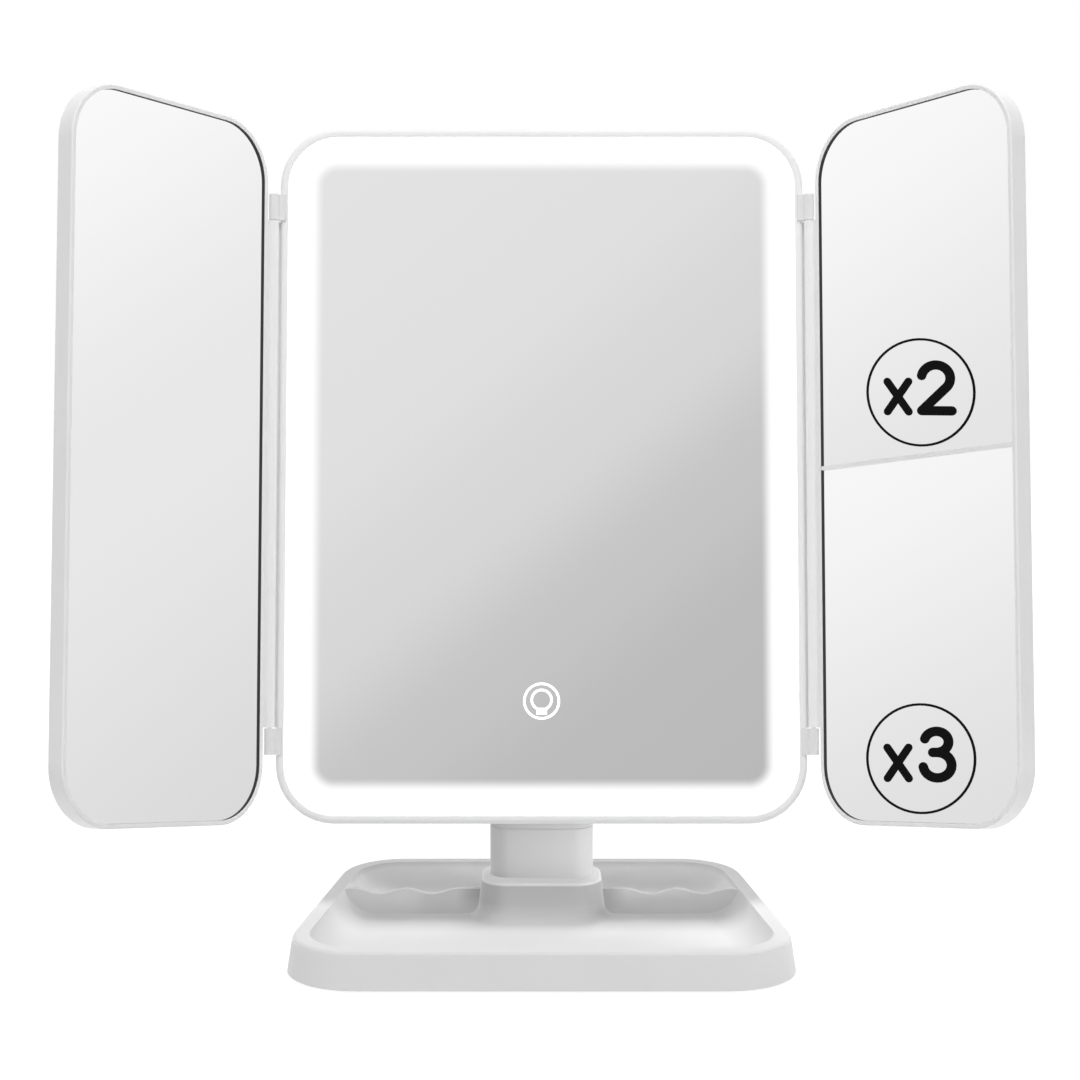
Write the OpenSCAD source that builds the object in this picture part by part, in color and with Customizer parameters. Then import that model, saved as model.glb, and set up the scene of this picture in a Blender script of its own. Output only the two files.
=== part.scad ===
// Trifold vanity mirror: a lighted centre mirror with two folding side mirrors, on a tilting neck
// over a base that is also a cosmetics tray. Millimetres, +Z up, the user sits on the -Y side.
// The origin is the middle of the base, on the table, at the underside of its middle foot.

/* [Base tray] */
// Width of the base across its front corners
base_w = 168; // [155:1:190]
// Width of the base across its back corners
base_back_w = 147; // [140:1:160]
// Depth of the base, front to back
base_d = 118; // [110:1:135]
// Corner radius at the foot of the base walls
base_r = 24; // [22:0.5:28]
// How far the base walls lean in from foot to rim
base_lean = 2; // [1:0.25:3]
// Width of the rim round the tray
rim_w = 5.5; // [5:0.25:7]
// Depth of the tray below its rim
tray_deep = 9; // [8:0.5:10]
// Radius of the sweep from the tray floor up into its wall
tray_sweep_r = 12; // [11:0.5:13]
// Thickness of the base shell's outer wall
base_wall = 1.8; // [1.4:0.1:2.2]
// Thickness of the tray floor
floor_t = 1.2; // [1:0.1:2]
// Thickness of the steel ballast plate
ballast_t = 0.7; // [0.5:0.1:2]
// Thickness of the bottom cover
cover_t = 1.2; // [1.2:0.1:2]
// How far the rubber feet stand out under the cover
foot_h = 0.8; // [0.6:0.1:2]
// Radius of each rubber foot
foot_r = 6; // [4:0.5:8]

/* [Wavy divider] */
// Thickness of the divider
divider_t = 2; // [1.4:0.1:3]
// How far the divider stands behind the middle of the base
divider_y = 17.6; // [14:0.1:22]
// Length of one wave along its top
wave_len = 18.4; // [16:0.1:20]
// Height from trough to crest
wave_h = 2; // [1:0.1:3]
// Where the wave starts, out from the middle
wave_start = 29; // [28:0.5:32]

/* [Neck] */
// Width of the neck
neck_w = 36; // [34:0.5:40]
// Depth of the neck, front to back
neck_d = 16; // [15:0.5:16.5]
// Corner radius of the neck
neck_r = 7; // [6:0.25:7.25]
// How far the neck stands behind the middle of the base
neck_y = 20.9; // [18:0.1:24]
// Height of the neck's boss above the tray rim
boss_h = 5; // [4:0.25:8]
// Width of the boss's top
boss_w = 41.6; // [41:0.1:48]
// How far the boss reaches in front of the neck
boss_front = 6.4; // [4:0.1:8]
// How far the boss reaches behind the neck
boss_back = 3; // [2.5:0.1:5]
// Depth of the socket that the neck stands in
socket_deep = 9.8; // [8:0.1:10.5]
// Height of the seam between the neck and its pivot head
neck_top = 35.3; // [34:0.1:37]

/* [Tilt pivot] */
// Height of the tilt axis above the table
pivot_z = 47.35; // [46:0.05:54]
// How far the tilt axis lies behind the centre panel's front
pivot_back = 26; // [25.5:0.1:28]
// How far the tilt axis lies above the centre panel's lower edge
pivot_up = 11; // [10.5:0.1:12]
// Lean of the head from upright as it stands
tilt_rest = 12.9; // [0:0.1:25]
// Radius of the tilt shaft
shaft_r = 3; // [2.5:0.1:3.5]
// Thickness of each friction washer
washer_t = 1.2; // [0.8:0.1:1.6]

/* [Centre panel] */
// Width of the centre panel
panel_w = 181; // [170:1:200]
// Height of the centre panel
panel_h = 240; // [225:1:260]
// Corner radius of all three panels
panel_r = 20; // [19:0.5:24]
// Depth of the front casing
casing_d = 14; // [14:0.1:14.5]
// Width of the white bezel round the light
bezel_w = 2.8; // [2.4:0.1:3.4]
// Width of the light ring
light_w = 8; // [7:0.1:8.4]
// Thickness of the centre glass
glass_t = 2; // [1.6:0.1:2.4]
// Height of the touch sign above the panel's lower edge
touch_up = 41.6; // [38:0.1:60]
// Radius of the touch sign's ring
touch_r = 6.3; // [5:0.1:9]

/* [Rear housing] */
// Thickness of the rear housing's walls
housing_t = 2; // [1.8:0.1:2.4]
// Width of the battery and pivot housing on the back
bulge_w = 122; // [120:1:140]
// Height of that housing
bulge_h = 96; // [96:1:120]
// How far its lower side lies above the panel's lower edge
bulge_up = 3; // [2:0.25:4]
// How far its back lies behind the panel's front
bulge_d = 35; // [34.8:0.1:38]
// Corner radius of that housing
bulge_r = 14; // [12:0.5:18]

/* [Wings] */
// Width of each wing's panel
wing_w = 89.5; // [84:0.5:90]
// Thickness of each wing
wing_t = 7; // [6.9:0.1:9]
// Angle of the wings forward of flat as it stands
wing_rest = 52.4; // [0:0.1:90]
// Width of the rim round the wing glass
wing_rim = 1.6; // [1.4:0.1:2]
// Thickness of the wing glass
wing_glass_t = 1.8; // [1.5:0.1:2]
// Height of the bar between the two right-hand glasses
bar_h = 1.3; // [1.2:0.1:5]
// How far the bar's middle lies above the wing's lower edge
bar_up = 121; // [112:0.5:128]

/* [Wing hinges] */
// Height of each hinge block
block_h = 9; // [8:0.25:12]
// How far a block's middle lies from the panel's nearest end
block_in = 27.8; // [26.5:0.1:34]
// Radius of the hinge barrel
barrel_r = 1.75; // [1.6:0.05:1.85]
// Radius of the steel hinge pins
pin_r = 0.8; // [0.6:0.05:0.9]
// Distance of the hinge axis from the centre panel's side
axis_out = 2.1; // [2.05:0.05:2.6]
// Distance of the hinge axis in front of the panel's face
axis_front = 0.4; // [0.4:0.05:0.8]

/* [Magnification signs] */
// Height of each oval sign
sign_h = 36; // [30:0.2:38]
// Width of each oval sign, drawn wide to read round from the front
sign_w = 49; // [40:0.2:54]
// Height of the upper sign's middle above the wing's lower edge
sign_upper = 142.2; // [142:0.1:216]
// Distance of the upper sign's middle from the hinge axis
sign_upper_out = 49.2; // [40:0.2:52]
// How much the upper sign falls towards the outside, drawn so to read level from the front
sign_slant = 0.115; // [0:0.005:0.15]
// Height of the lower sign's middle above the wing's lower edge
sign_lower = 22.2; // [22:0.2:95]
// Distance of the lower sign's middle from the hinge axis
sign_lower_out = 47.2; // [40:0.2:52]

/* [Hidden] */
$fn = 64;
gap = 0.1;              // fitting gap between pieces that stay put
part_gap = 0.3;         // clear space between pieces that move past each other
run_gap = 0.05;         // radial running clearance of pins and shafts
over = 1;               // how far a cutting shape reaches past what it cuts

white = [0.93, 0.93, 0.92];
pale = [0.87, 0.87, 0.87];
steel = [0.72, 0.73, 0.75];
silver_glass = [0.78, 0.79, 0.79];
board_green = [0.16, 0.36, 0.24];
foam_grey = [0.35, 0.35, 0.36];
black = [0.1, 0.1, 0.1];

// ---------- shared shapes ----------

function heading(a, b) = atan2(b.y - a.y, b.x - a.x);
function after(i, list) = (i + 1) % len(list);
function before(i, list) = (i + len(list) - 1) % len(list);
function turn(from, to) = (to - from + 720) % 360;
// Corner centres of an upright rounded rectangle whose lower side is at y0
function rect_centres(w, h, r, y0 = 0) = [
    [-w / 2 + r, y0 + r], [w / 2 - r, y0 + r],
    [w / 2 - r, y0 + h - r], [-w / 2 + r, y0 + h - r]];

// Sweeps a section round corner centres: the section's x is the distance out from them
module sweep_round(centres) {
    for (i = [0 : len(centres) - 1]) {
        here = centres[i];
        next = centres[after(i, centres)];
        into = heading(centres[before(i, centres)], here);
        out = heading(here, next);
        translate([here.x, here.y, 0]) rotate([0, 0, into - 90])
            rotate_extrude(angle = turn(into, out)) children();
        translate([next.x, next.y, 0]) rotate([0, 0, out - 90]) rotate([90, 0, 0])
            linear_extrude(norm(next - here)) children();
    }
}

// The part of a shape between two heights
module slab(z0, z1) {
    intersection() {
        children();
        translate([-base_w, -base_w, z0]) cube([2 * base_w, 2 * base_w, z1 - z0]);
    }
}

// Solid over slanted corner centres, from a section that starts at x = 0 and runs past both heights.
// Its middle laps over its sides, and the sides stand a hair proud of the round corners, so that no
// two slanted faces touch.
proud = 0.08;
core_lap = 2;
crease = 0.05;          // how far a rounding starts beyond the flat that it runs into
module round_form(centres, z0, z1) {
    core = [for (c = centres) c + core_lap * [sign(c.x), sign(c.y)]];
    translate([0, 0, z0]) linear_extrude(z1 - z0) polygon(core);
    for (i = [0 : len(centres) - 1]) {
        here = centres[i];
        next = centres[after(i, centres)];
        slab(z0, z1) translate([here.x, here.y, 0]) rotate_extrude() children();
        slab(z0, z1) translate([next.x, next.y, 0]) rotate([0, 0, heading(here, next) - 90])
            rotate([90, 0, 0]) linear_extrude(norm(next - here)) translate([proud, 0]) children();
    }
}

// Flat outline that lies r outside the corner centres
module round_outline(centres, r) {
    polygon(centres);
    for (i = [0 : len(centres) - 1]) {
        here = centres[i];
        next = centres[after(i, centres)];
        translate(here) circle(r);
        translate(next) rotate(heading(here, next) - 90)
            translate([0, -norm(next - here)]) square([r, norm(next - here)]);
    }
}

// Plate with that outline between two heights
module plate(centres, r, z0, z1) {
    translate([0, 0, z0]) linear_extrude(z1 - z0) round_outline(centres, r);
}

module ring_plate(centres, r_out, r_in, z0, z1) {
    translate([0, 0, z0]) linear_extrude(z1 - z0) difference() {
        round_outline(centres, r_out);
        round_outline(centres, r_in);
    }
}

// Outline r outside slanted corner centres, with its round corners drawn in short straight pieces
function arc_step(i, j, n, list) = let (
    into = heading(list[before(i, list)], list[i]),
    out = heading(list[i], list[after(i, list)])) into - 90 + turn(into, out) * j / n;
function slanted_points(r, n = 12) = [for (i = [0 : len(base_centres) - 1], j = [0 : n])
    let (angle = arc_step(i, j, n, base_centres)) base_centres[i] + r * [cos(angle), sin(angle)]];

module slanted_plate(r, z0, z1) {
    translate([0, 0, z0]) linear_extrude(z1 - z0) polygon(slanted_points(r));
}

// Box from its lowest to its highest corner
module block(low, high) {
    translate(low) cube(high - low);
}

// Cuts a convex rounding of radius r at a section's corner; sx and sy point out of the corner
module round_cut(x, y, r, sx, sy) {
    difference() {
        translate([min(x, x - sx * r) - (sx < 0 ? over : 0), min(y, y - sy * r) - (sy < 0 ? over : 0)])
            square([r + over, r + over]);
        translate([x - sx * r, y - sy * r]) circle(r);
    }
}

// Cylinder along X from x0 to x1
module rod_x(r, x0, x1) {
    translate([x0, 0, 0]) rotate([0, 90, 0]) cylinder(r = r, h = x1 - x0);
}

// ---------- base ----------

foot_sink = 0.4;                        // how deep the feet and the screw heads sit in the cover
cover_sink = 0.6;
cover_z = foot_h;
cover_top = cover_z + cover_t;
floor_under = cover_top + ballast_t + gap;
floor_z = floor_under + floor_t;
rim_z = floor_z + tray_deep;
rim_r = base_r - base_lean;             // rim outline, out from the corner centres
tray_r = rim_r - rim_w;                 // tray mouth, out from the corner centres
base_front = -base_d / 2 + base_r;      // the corner centres' front and back lines
base_rear = base_d / 2 - base_r;
base_centres = [
    [-base_w / 2 + base_r, base_front], [base_w / 2 - base_r, base_front],
    [base_back_w / 2 - base_r, base_rear], [-base_back_w / 2 + base_r, base_rear]];
rim_round = 1.5;
sweep_run = sqrt(tray_sweep_r * tray_sweep_r - pow(tray_sweep_r - tray_deep, 2));
inner_r = base_r - base_wall;           // inside of the outer wall at its foot
socket_z = rim_z + boss_h - socket_deep;
boss_z = rim_z + boss_h;
boss_r = 9;
boss_lean = 1.2;
boss_foot_r = 4;
boss_round = 0.9;
boss_low = neck_y - neck_d / 2 - boss_front;
boss_high = neck_y + neck_d / 2 + boss_back;
boss_centres = [for (p = rect_centres(boss_w, boss_high - boss_low, boss_r)) p + [0, boss_low]];
socket_t = 2;                           // floor of the neck's socket, which its screws pull on
neck_screw_x = 9;
post_out = inner_r - 4.4;               // cover screw posts, out from the corner centres
post_r = 2.6;
post_screw = 5;                         // how far a cover screw reaches into its post
screw_r = 1.2;
screw_hole_r = screw_r + 0.2;
head_r = 2.2;                           // screw heads, and the pockets they sink into
head_t = 0.9;
pocket_r = 2.4;
root = 0.6;                             // how far the divider and the boss reach into the tray floor
hollow_top = rim_z - 2;                 // underside of the rim
neck_access_r = 2.6;                    // hole that a driver reaches the neck screws through
wave_steps = 12;                        // straight pieces in one wave of the divider's top

module base_outer_section() {
    difference() {
        polygon([[0, cover_z - over], [base_r, cover_z - over], [base_r, cover_z], [rim_r, rim_z],
            [rim_r, rim_z + over], [0, rim_z + over]]);
        round_cut(rim_r, rim_z + crease, rim_round, 1, 1);
    }
}

// The tray's hollow, whose floor sweeps up into its wall; grown by a wall it is the tray's underside
module tray_section(wall = 0) {
    sweep_x = tray_r - sweep_run;
    height = tray_deep + wall + 3 * over;
    translate([0, floor_z - wall - over]) square([sweep_x, height]);
    intersection() {
        translate([sweep_x, floor_z - crease + tray_sweep_r]) circle(tray_sweep_r + wall, $fn = 96);
        translate([sweep_x - over, floor_z - wall - over]) square([tray_r + wall, height]);
    }
}

module base_inner_section() {
    polygon([[0, cover_z - 2 * over], [inner_r, cover_z - 2 * over], [inner_r, cover_top],
        [inner_r - base_lean, hollow_top], [inner_r - base_lean, hollow_top + over], [0, hollow_top + over]]);
}

// The divider is level with the rim up to wave_start, and from there its top dips in waves
module divider_half() {
    steps = ceil((base_w / 2 - wave_start) / wave_len * wave_steps);
    tops = [for (i = [0 : steps])
        [wave_start + i * wave_len / wave_steps, rim_z - wave_h * (1 - cos(360 * i / wave_steps)) / 2]];
    translate([0, divider_y + divider_t / 2, 0]) rotate([90, 0, 0]) linear_extrude(divider_t)
        polygon(concat([[0, floor_z - root], [0, rim_z]], tops, [[tops[steps].x, floor_z - root]]));
}

// The neck's boss leans in a little towards its top and flares into the tray floor
module boss_section() {
    low = floor_z - root;
    foot_x = boss_r + boss_lean;
    flare_x = foot_x + boss_foot_r;
    flare_z = floor_z + boss_foot_r;
    difference() {
        polygon([[0, low], [flare_x, low], [flare_x, flare_z], [foot_x, flare_z],
            [boss_r, boss_z], [0, boss_z]]);
        translate([flare_x, flare_z]) circle(boss_foot_r);
        round_cut(boss_r, boss_z, boss_round, 1, 1);
    }
}

module post_places() {
    for (c = base_centres) {
        away = atan2(c.y, c.x);
        translate([c.x + post_out * cos(away), c.y + post_out * sin(away), 0]) children();
    }
}

module base_shell() {
    color(white) difference() {
        union() {
            difference() {
                round_form(base_centres, cover_z, rim_z) base_outer_section();
                round_form(base_centres, floor_z, rim_z + over) tray_section();
            }
            intersection() {
                union() {
                    divider_half();
                    mirror([1, 0, 0]) divider_half();
                }
                slanted_plate(rim_r - rim_w / 2, cover_z, boss_z);
            }
            sweep_round(boss_centres) boss_section();
            translate([0, 0, floor_z - root]) linear_extrude(boss_z - floor_z + root) polygon(boss_centres);
        }
        difference() {
            round_form(base_centres, cover_z - over, hollow_top) base_inner_section();
            round_form(base_centres, floor_under, rim_z + over) tray_section(floor_t);
            post_places() translate([0, 0, cover_top]) cylinder(r = post_r, h = tray_deep);
        }
        post_places() cylinder(r = screw_r + run_gap, h = cover_top + post_screw + gap);
        translate([0, neck_y - neck_d / 2 - gap, 0])
            plate(rect_centres(neck_w + 2 * gap, neck_d + 2 * gap, neck_r + gap), neck_r + gap,
                socket_z, boss_z + over);
        neck_screw_places() {
            cylinder(r = screw_hole_r, h = boss_z);
            cylinder(r = neck_access_r, h = socket_z - socket_t);
        }
    }
}

module neck_screw_places() {
    for (s = [-1, 1]) translate([s * neck_screw_x, neck_y, 0]) children();
}

module bottom_cover() {
    color(pale) difference() {
        slanted_plate(inner_r - gap, cover_z, cover_top);
        post_places() {
            cylinder(r = screw_hole_r, h = cover_top + over);
            cylinder(r = pocket_r, h = cover_z + cover_sink);
        }
        foot_places() cylinder(r = foot_r + gap, h = cover_z + foot_sink);
        neck_screw_places() cylinder(r = neck_access_r, h = cover_top + over);
    }
}

module ballast_plate() {
    color(steel) difference() {
        slanted_plate(tray_r - sweep_run, cover_top, cover_top + ballast_t);
        neck_screw_places() cylinder(r = neck_access_r, h = floor_z);
    }
}

// A foot near each corner, and one in the middle, under the tray's floor
module foot_places() {
    for (c = concat(base_centres, [[0, 0]])) translate([c.x, c.y, 0]) children();
}

module rubber_feet() {
    color([0.25, 0.25, 0.26]) foot_places() cylinder(r = foot_r, h = cover_z + foot_sink);
}

module base_screws() {
    color(steel) post_places() {
        translate([0, 0, cover_z]) cylinder(r = head_r, h = cover_sink);
        translate([0, 0, cover_z]) cylinder(r = screw_r, h = cover_t + post_screw);
    }
}

// ---------- neck ----------

seam = 0.25;                            // width of the line between the neck and its pivot head
front_shell_d = 2;
seam_y = neck_y - neck_d / 2 + front_shell_d;   // parting line of the neck's two shells
neck_shell_t = 2.2;
neck_side_t = 3;
stem_w = 26;
stem_d = neck_d - front_shell_d - neck_shell_t - 2 * gap;
stem_low = 18;
seat_top = socket_z + 7;                // top of the solid foot that takes the screws
seat_screw = 5.4;                       // how far the neck screws reach into that foot
cross_x = 8;
cross_z = stem_low + 6;                 // height of the screws through the stem
peg_z = cross_z + 7;                    // height of the front shell's locating pegs
peg_r = 1.5;
peg_long = 3;

module neck_outline(grow = 0) {
    translate([0, neck_y - neck_d / 2 - grow])
        round_outline(rect_centres(neck_w + 2 * grow, neck_d + 2 * grow, neck_r + grow), neck_r + grow);
}

module neck_front_shell() {
    color(white) union() {
        intersection() {
            translate([0, 0, socket_z]) linear_extrude(neck_top - socket_z) neck_outline();
            block([-neck_w, 0, 0], [neck_w, seam_y - run_gap, neck_top + over]);
        }
        for (s = [-1, 1]) translate([s * cross_x, seam_y - over, peg_z]) rotate([-90, 0, 0])
            cylinder(r = peg_r, h = peg_long + over);
    }
}

module neck_rear_shell() {
    color(white) difference() {
        translate([0, 0, socket_z]) linear_extrude(neck_top - socket_z) neck_outline();
        block([-neck_w, 0, 0], [neck_w, seam_y, neck_top + over]);
        block([-neck_w / 2 + neck_side_t, 0, seat_top],
            [neck_w / 2 - neck_side_t, neck_y + neck_d / 2 - neck_shell_t, neck_top + over]);
        neck_screw_places() cylinder(r = screw_r + run_gap, h = socket_z + seat_screw + gap);
        for (s = [-1, 1]) translate([s * cross_x, neck_y, cross_z]) rotate([-90, 0, 0]) {
            cylinder(r = screw_hole_r, h = neck_d);
            translate([0, 0, neck_d / 2 - head_t - gap]) cylinder(r = pocket_r, h = neck_d);
        }
    }
}

// Screw that reaches long above its head, which lies below z = 0
module screw(long) {
    translate([0, 0, -head_t]) cylinder(r = head_r, h = head_t);
    translate([0, 0, -head_t]) cylinder(r = screw_r, h = long + head_t);
}

module neck_screws() {
    color(steel) {
        neck_screw_places() translate([0, 0, socket_z - socket_t]) screw(socket_t + seat_screw);
        for (s = [-1, 1]) translate([s * cross_x, neck_y + neck_d / 2 - head_t - gap, cross_z])
            rotate([90, 0, 0]) screw(6.7);
    }
}

module pivot_head() {
    head_z = neck_top + seam;
    color(white) difference() {
        union() {
            translate([0, 0, head_z]) linear_extrude(pivot_z - head_z) neck_outline();
            translate([0, neck_y, pivot_z]) rod_x(neck_d / 2, -neck_w / 2, neck_w / 2);
            block([-stem_w / 2, seam_y + gap, stem_low],
                [stem_w / 2, seam_y + gap + stem_d, head_z + over]);
        }
        translate([0, neck_y, pivot_z]) rod_x(shaft_r + run_gap, -neck_w, neck_w);
        for (s = [-1, 1]) {
            translate([s * cross_x, 0, cross_z]) rotate([-90, 0, 0])
                cylinder(r = screw_r + run_gap, h = neck_y + neck_d);
            translate([s * cross_x, 0, peg_z]) rotate([-90, 0, 0])
                cylinder(r = peg_r + gap, h = seam_y + peg_long + gap);
        }
    }
}

// ---------- head: flat frame, x right, y up from the lower edge, z = minus the depth ----------

module in_head() {
    translate([0, neck_y, pivot_z]) rotate([-tilt_rest, 0, 0])
        translate([0, -pivot_back, -pivot_up]) rotate([90, 0, 0]) children();
}

centres = rect_centres(panel_w, panel_h, panel_r);
lip_d = 2.5;                            // depth of the bezel's lip and of the light ring's back
casing_wall = 2;
ledge_d = 11.6;                         // depth of the ledge that holds the light board
ledge_t = 1.6;
ledge_in = 18;
carrier_in = 10;                        // light wall of the mirror carrier, in from the edge
glass_d = 0.5;
glass_in = bezel_w + light_w + gap;
foam_t = 1;
foam_in = 1.5;                          // tape, in from the glass's edge, and its width
foam_w = 7;
carrier_t = 1.2;
carrier_d = glass_d + glass_t + foam_t;
bezel_round = 1.7;
light_stop = 1;                         // width of the step that the light ring lies on
light_stop_t = 1.5;
light_sink = 0.3;

// Section of a ring between two insets and two depths
module band(in0, in1, d0, d1, r = panel_r) {
    translate([r - in1, -d1]) square([in1 - in0, d1 - d0]);
}

module panel_ring(in0, in1, d0, d1) {
    ring_plate(centres, panel_r - in0, panel_r - in1, -d1, -d0);
}

module panel_plate(in0, d0, d1) {
    plate(centres, panel_r - in0, -d1, -d0);
}

module bezel_section() {
    difference() {
        union() {
            band(0, casing_wall, 0, casing_d);
            band(0, bezel_w, 0, lip_d);
            band(0, bezel_w + light_stop, lip_d, lip_d + light_stop_t);
            band(0, ledge_in, ledge_d, ledge_d + ledge_t);
        }
        round_cut(panel_r, 0, bezel_round, 1, 1);
        round_cut(panel_r - bezel_w, 0, 0.4, -1, 1);
    }
}

light_wall = 1.2;                       // wall of the carrier that keeps the light in its channel
screw_post_r = 2.8;
// Housing screws, in from the panel's edge: in the corners their posts clear the light wall's rounding
screw_in = panel_r - (panel_r - carrier_in - light_wall - screw_post_r - part_gap) / sqrt(2);
screw_post_d = 7;                       // depth of the posts' front end
screw_tip_d = 8.3;
module housing_screw_places() {
    for (x = [-1, 1], y = [screw_in, panel_h / 2, panel_h - screw_in])
        translate([x * (panel_w / 2 - screw_in), y, 0]) children();
}

strip_t = 1.5;                          // strip on the casing's side that covers the gap behind a hinge

// Notch in the casing's side for a hinge block's leaf, and the blocks' heights
leaf_in = 1.9;
leaf_d = 5;
block_ys = [block_in, panel_h - block_in];

module front_bezel() {
    strip_d = barrel_r - axis_front + part_gap;
    color(white) in_head() difference() {
        union() {
            sweep_round(centres) bezel_section();
            for (s = [0, 1]) mirror([s, 0, 0])
                block([panel_w / 2 - bind, spine_low, -strip_d - strip_t],
                    [panel_w / 2 + axis_out, spine_high, -strip_d]);
            housing_screw_places() translate([0, 0, -casing_d])
                cylinder(r = screw_post_r, h = casing_d - screw_post_d);
        }
        housing_screw_places() translate([0, 0, -casing_d - over])
            cylinder(r = screw_r + run_gap, h = casing_d + over - screw_tip_d + gap);
        for (s = [0, 1], y = block_ys) mirror([s, 0, 0])
            block([panel_w / 2 - leaf_in - gap, y - block_h / 2 - gap, -leaf_d - gap],
                [panel_w / 2 + over, y + block_h / 2 + gap, over]);
    }
}

module light_diffuser() {
    color([1, 1, 1]) in_head() panel_ring(bezel_w + run_gap, bezel_w + light_w, light_sink, lip_d);
}

module centre_mirror() {
    color(silver_glass) in_head() panel_plate(glass_in, glass_d, glass_d + glass_t);
}

module mirror_foam() {
    color(foam_grey) in_head()
        panel_ring(glass_in + foam_in, glass_in + foam_in + foam_w, glass_d + glass_t, carrier_d);
}

touch_board = [22, 16, 1];
touch_plug = [6, 4, 1.2];
touch_window = [touch_board.x + 4, touch_board.y + 4];

module mirror_carrier() {
    color(white) in_head() difference() {
        union() {
            panel_plate(carrier_in, carrier_d, carrier_d + carrier_t);
            panel_ring(carrier_in, carrier_in + light_wall, lip_d, ledge_d);
        }
        block([-touch_window.x / 2, touch_up - touch_window.y / 2, -carrier_d - carrier_t - over],
            [touch_window.x / 2, touch_up + touch_window.y / 2, 0]);
    }
}

led_in = 5.9;                           // the chips' line, in from the edge
led_strip_t = 1;
led_count_x = 15;
led_count_y = 21;

module led_strip() {
    color(white) in_head() panel_ring(casing_wall + gap, carrier_in - gap, ledge_d - led_strip_t, ledge_d);
}

module led_chips() {
    chip = [3.5, 2.8, 0.7];
    run_x = panel_w / 2 - panel_r;
    run_y = panel_h / 2 - panel_r;
    color([0.98, 0.93, 0.66]) in_head() translate([0, 0, -ledge_d + led_strip_t + chip.z / 2]) {
        for (i = [0 : led_count_x - 1], y = [led_in, panel_h - led_in])
            translate([-run_x + 2 * run_x * i / (led_count_x - 1), y, 0]) cube(chip, center = true);
        for (i = [0 : led_count_y - 1], x = [-1, 1])
            translate([x * (panel_w / 2 - led_in), panel_r + 2 * run_y * i / (led_count_y - 1), 0])
                cube([chip.y, chip.x, chip.z], center = true);
    }
}

module touch_sensor() {
    color(board_green) in_head() translate([0, touch_up, -glass_d - glass_t]) {
        translate([0, 0, -touch_board.z / 2]) cube(touch_board, center = true);
        translate([0, -touch_plug.y, -touch_board.z - touch_plug.z / 2]) cube(touch_plug, center = true);
    }
}

sign_t = 0.15;                          // thickness of the printed signs

// Plain switch sign: a ring, and in it a bulb drawn as a smaller ring on a short foot
module touch_sign() {
    line = 0.13 * touch_r;
    bulb_r = 0.6 * touch_r;
    foot = [0.58 * touch_r, 0.36 * touch_r];
    color(white) in_head() translate([0, touch_up, -glass_d]) linear_extrude(sign_t) {
        difference() {
            circle(touch_r);
            circle(touch_r - line);
        }
        translate([0, bulb_r / 9]) difference() {
            circle(bulb_r);
            circle(bulb_r - line);
        }
        translate([-foot.x / 2, -0.73 * touch_r]) square(foot);
    }
}

// ---------- rear housing ----------

back_d = casing_d + housing_t;          // depth of the panel's flat back
slot_half = neck_w / 2 + washer_t + 2 * gap;
slot_room = 0.7;                        // clear space above the pivot head in the housing's slot
slot_skin = 1.2;                        // wall in front of that slot
slot_top = pivot_up + neck_d / 2 + slot_room;
slot_front = casing_d + slot_skin;
cheek_t = 3;                            // walls beside the slot that carry the shaft
bind = 0.5;                             // how far inner walls reach into the wall they stand on
bulge_centres = rect_centres(bulge_w, bulge_h, bulge_r, bulge_up);
bulge_round = 3;
housing_round = 1.8;
cell_r = 7.1;
cell_len = 49.2;
cell_tip = 1.2;
cell_gap = 0.6;                         // between two rows of cells, and between them and the bay
cell_room = 0.4;                        // between the cells and the door
cell_pitch = 2 * cell_r + cell_gap;
contact_t = 0.4;
contact_half = 5;
spring_long = 1.2;
spring_r = 2.6;
rib_half = 0.8;                         // half the thickness of the rib between the two cell rows
cell_start = rib_half + contact_t + spring_long;
bay_x = cell_start + cell_len + cell_tip + gap + contact_t;
bay_up = 7;                             // from the slot's roof up to the bay
bay_low = slot_top + cheek_t + bay_up;
bay_high = bay_low + 2 * cell_pitch + cell_gap;
bay_wall = 1.4;
bulge_in_d = bulge_d - housing_t;       // inside of the bulge's back wall
door_lip = 1.6;                         // how far the door's rim reaches in past that wall
door_t = 1;
door_out = 3;                           // how far the door's plate laps over the wall round the bay
door_rim = 1.7;
cell_d = bulge_in_d - door_lip - cell_r - cell_room;
bay_floor = cell_d - cell_r - gap;      // depth of the floor that the cells lie on
usb_in = 19;                            // the inlet and the switch, in from the bulge's edges
usb_up = 14;
switch_in = 21;
switch_down = 15;
usb_at = [bulge_w / 2 - usb_in, usb_up];
usb_half = [4.5, 1.6];
usb_r = 1.5;                            // corner radius of the inlet's sleeve
usb_wall = 0.4;
usb_long = 7.6;
switch_at = [bulge_w / 2 - switch_in, bulge_up + bulge_h - switch_down];
switch_travel = 3;
switch_half = [6, 3];
switch_depth = 4.4;
knob_half = [2.2, 1.5];
knob_room = [0.5, 0.4];
knob_slot = knob_half + [switch_travel / 2, 0] + knob_room;
board_back = 21.6;                      // depth of the control board's rear face
board_t = 1.6;
board_half = [28, 9];
board_y = (bay_high + bay_wall + bulge_up + bulge_h - housing_t) / 2;
board_post_r = 2.4;
board_post_in = 4;
rib_short = 3;                          // how far the rib between the rows stays behind the back wall

module bulge_section() {
    difference() {
        translate([0, -bulge_d]) square([bulge_r, bulge_d - back_d + bind]);
        round_cut(bulge_r, -bulge_d, bulge_round, 1, -1);
    }
}

module back_edge_section() {
    difference() {
        band(0, ledge_in, casing_d, back_d);
        round_cut(panel_r, -back_d, housing_round, 1, -1);
    }
}

module housing_outer() {
    sweep_round(centres) back_edge_section();
    plate(centres, panel_r - ledge_in, -back_d, -casing_d);
    sweep_round(bulge_centres) bulge_section();
    translate([0, 0, -bulge_d]) linear_extrude(bulge_d - back_d + bind) polygon(bulge_centres);
}

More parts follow.
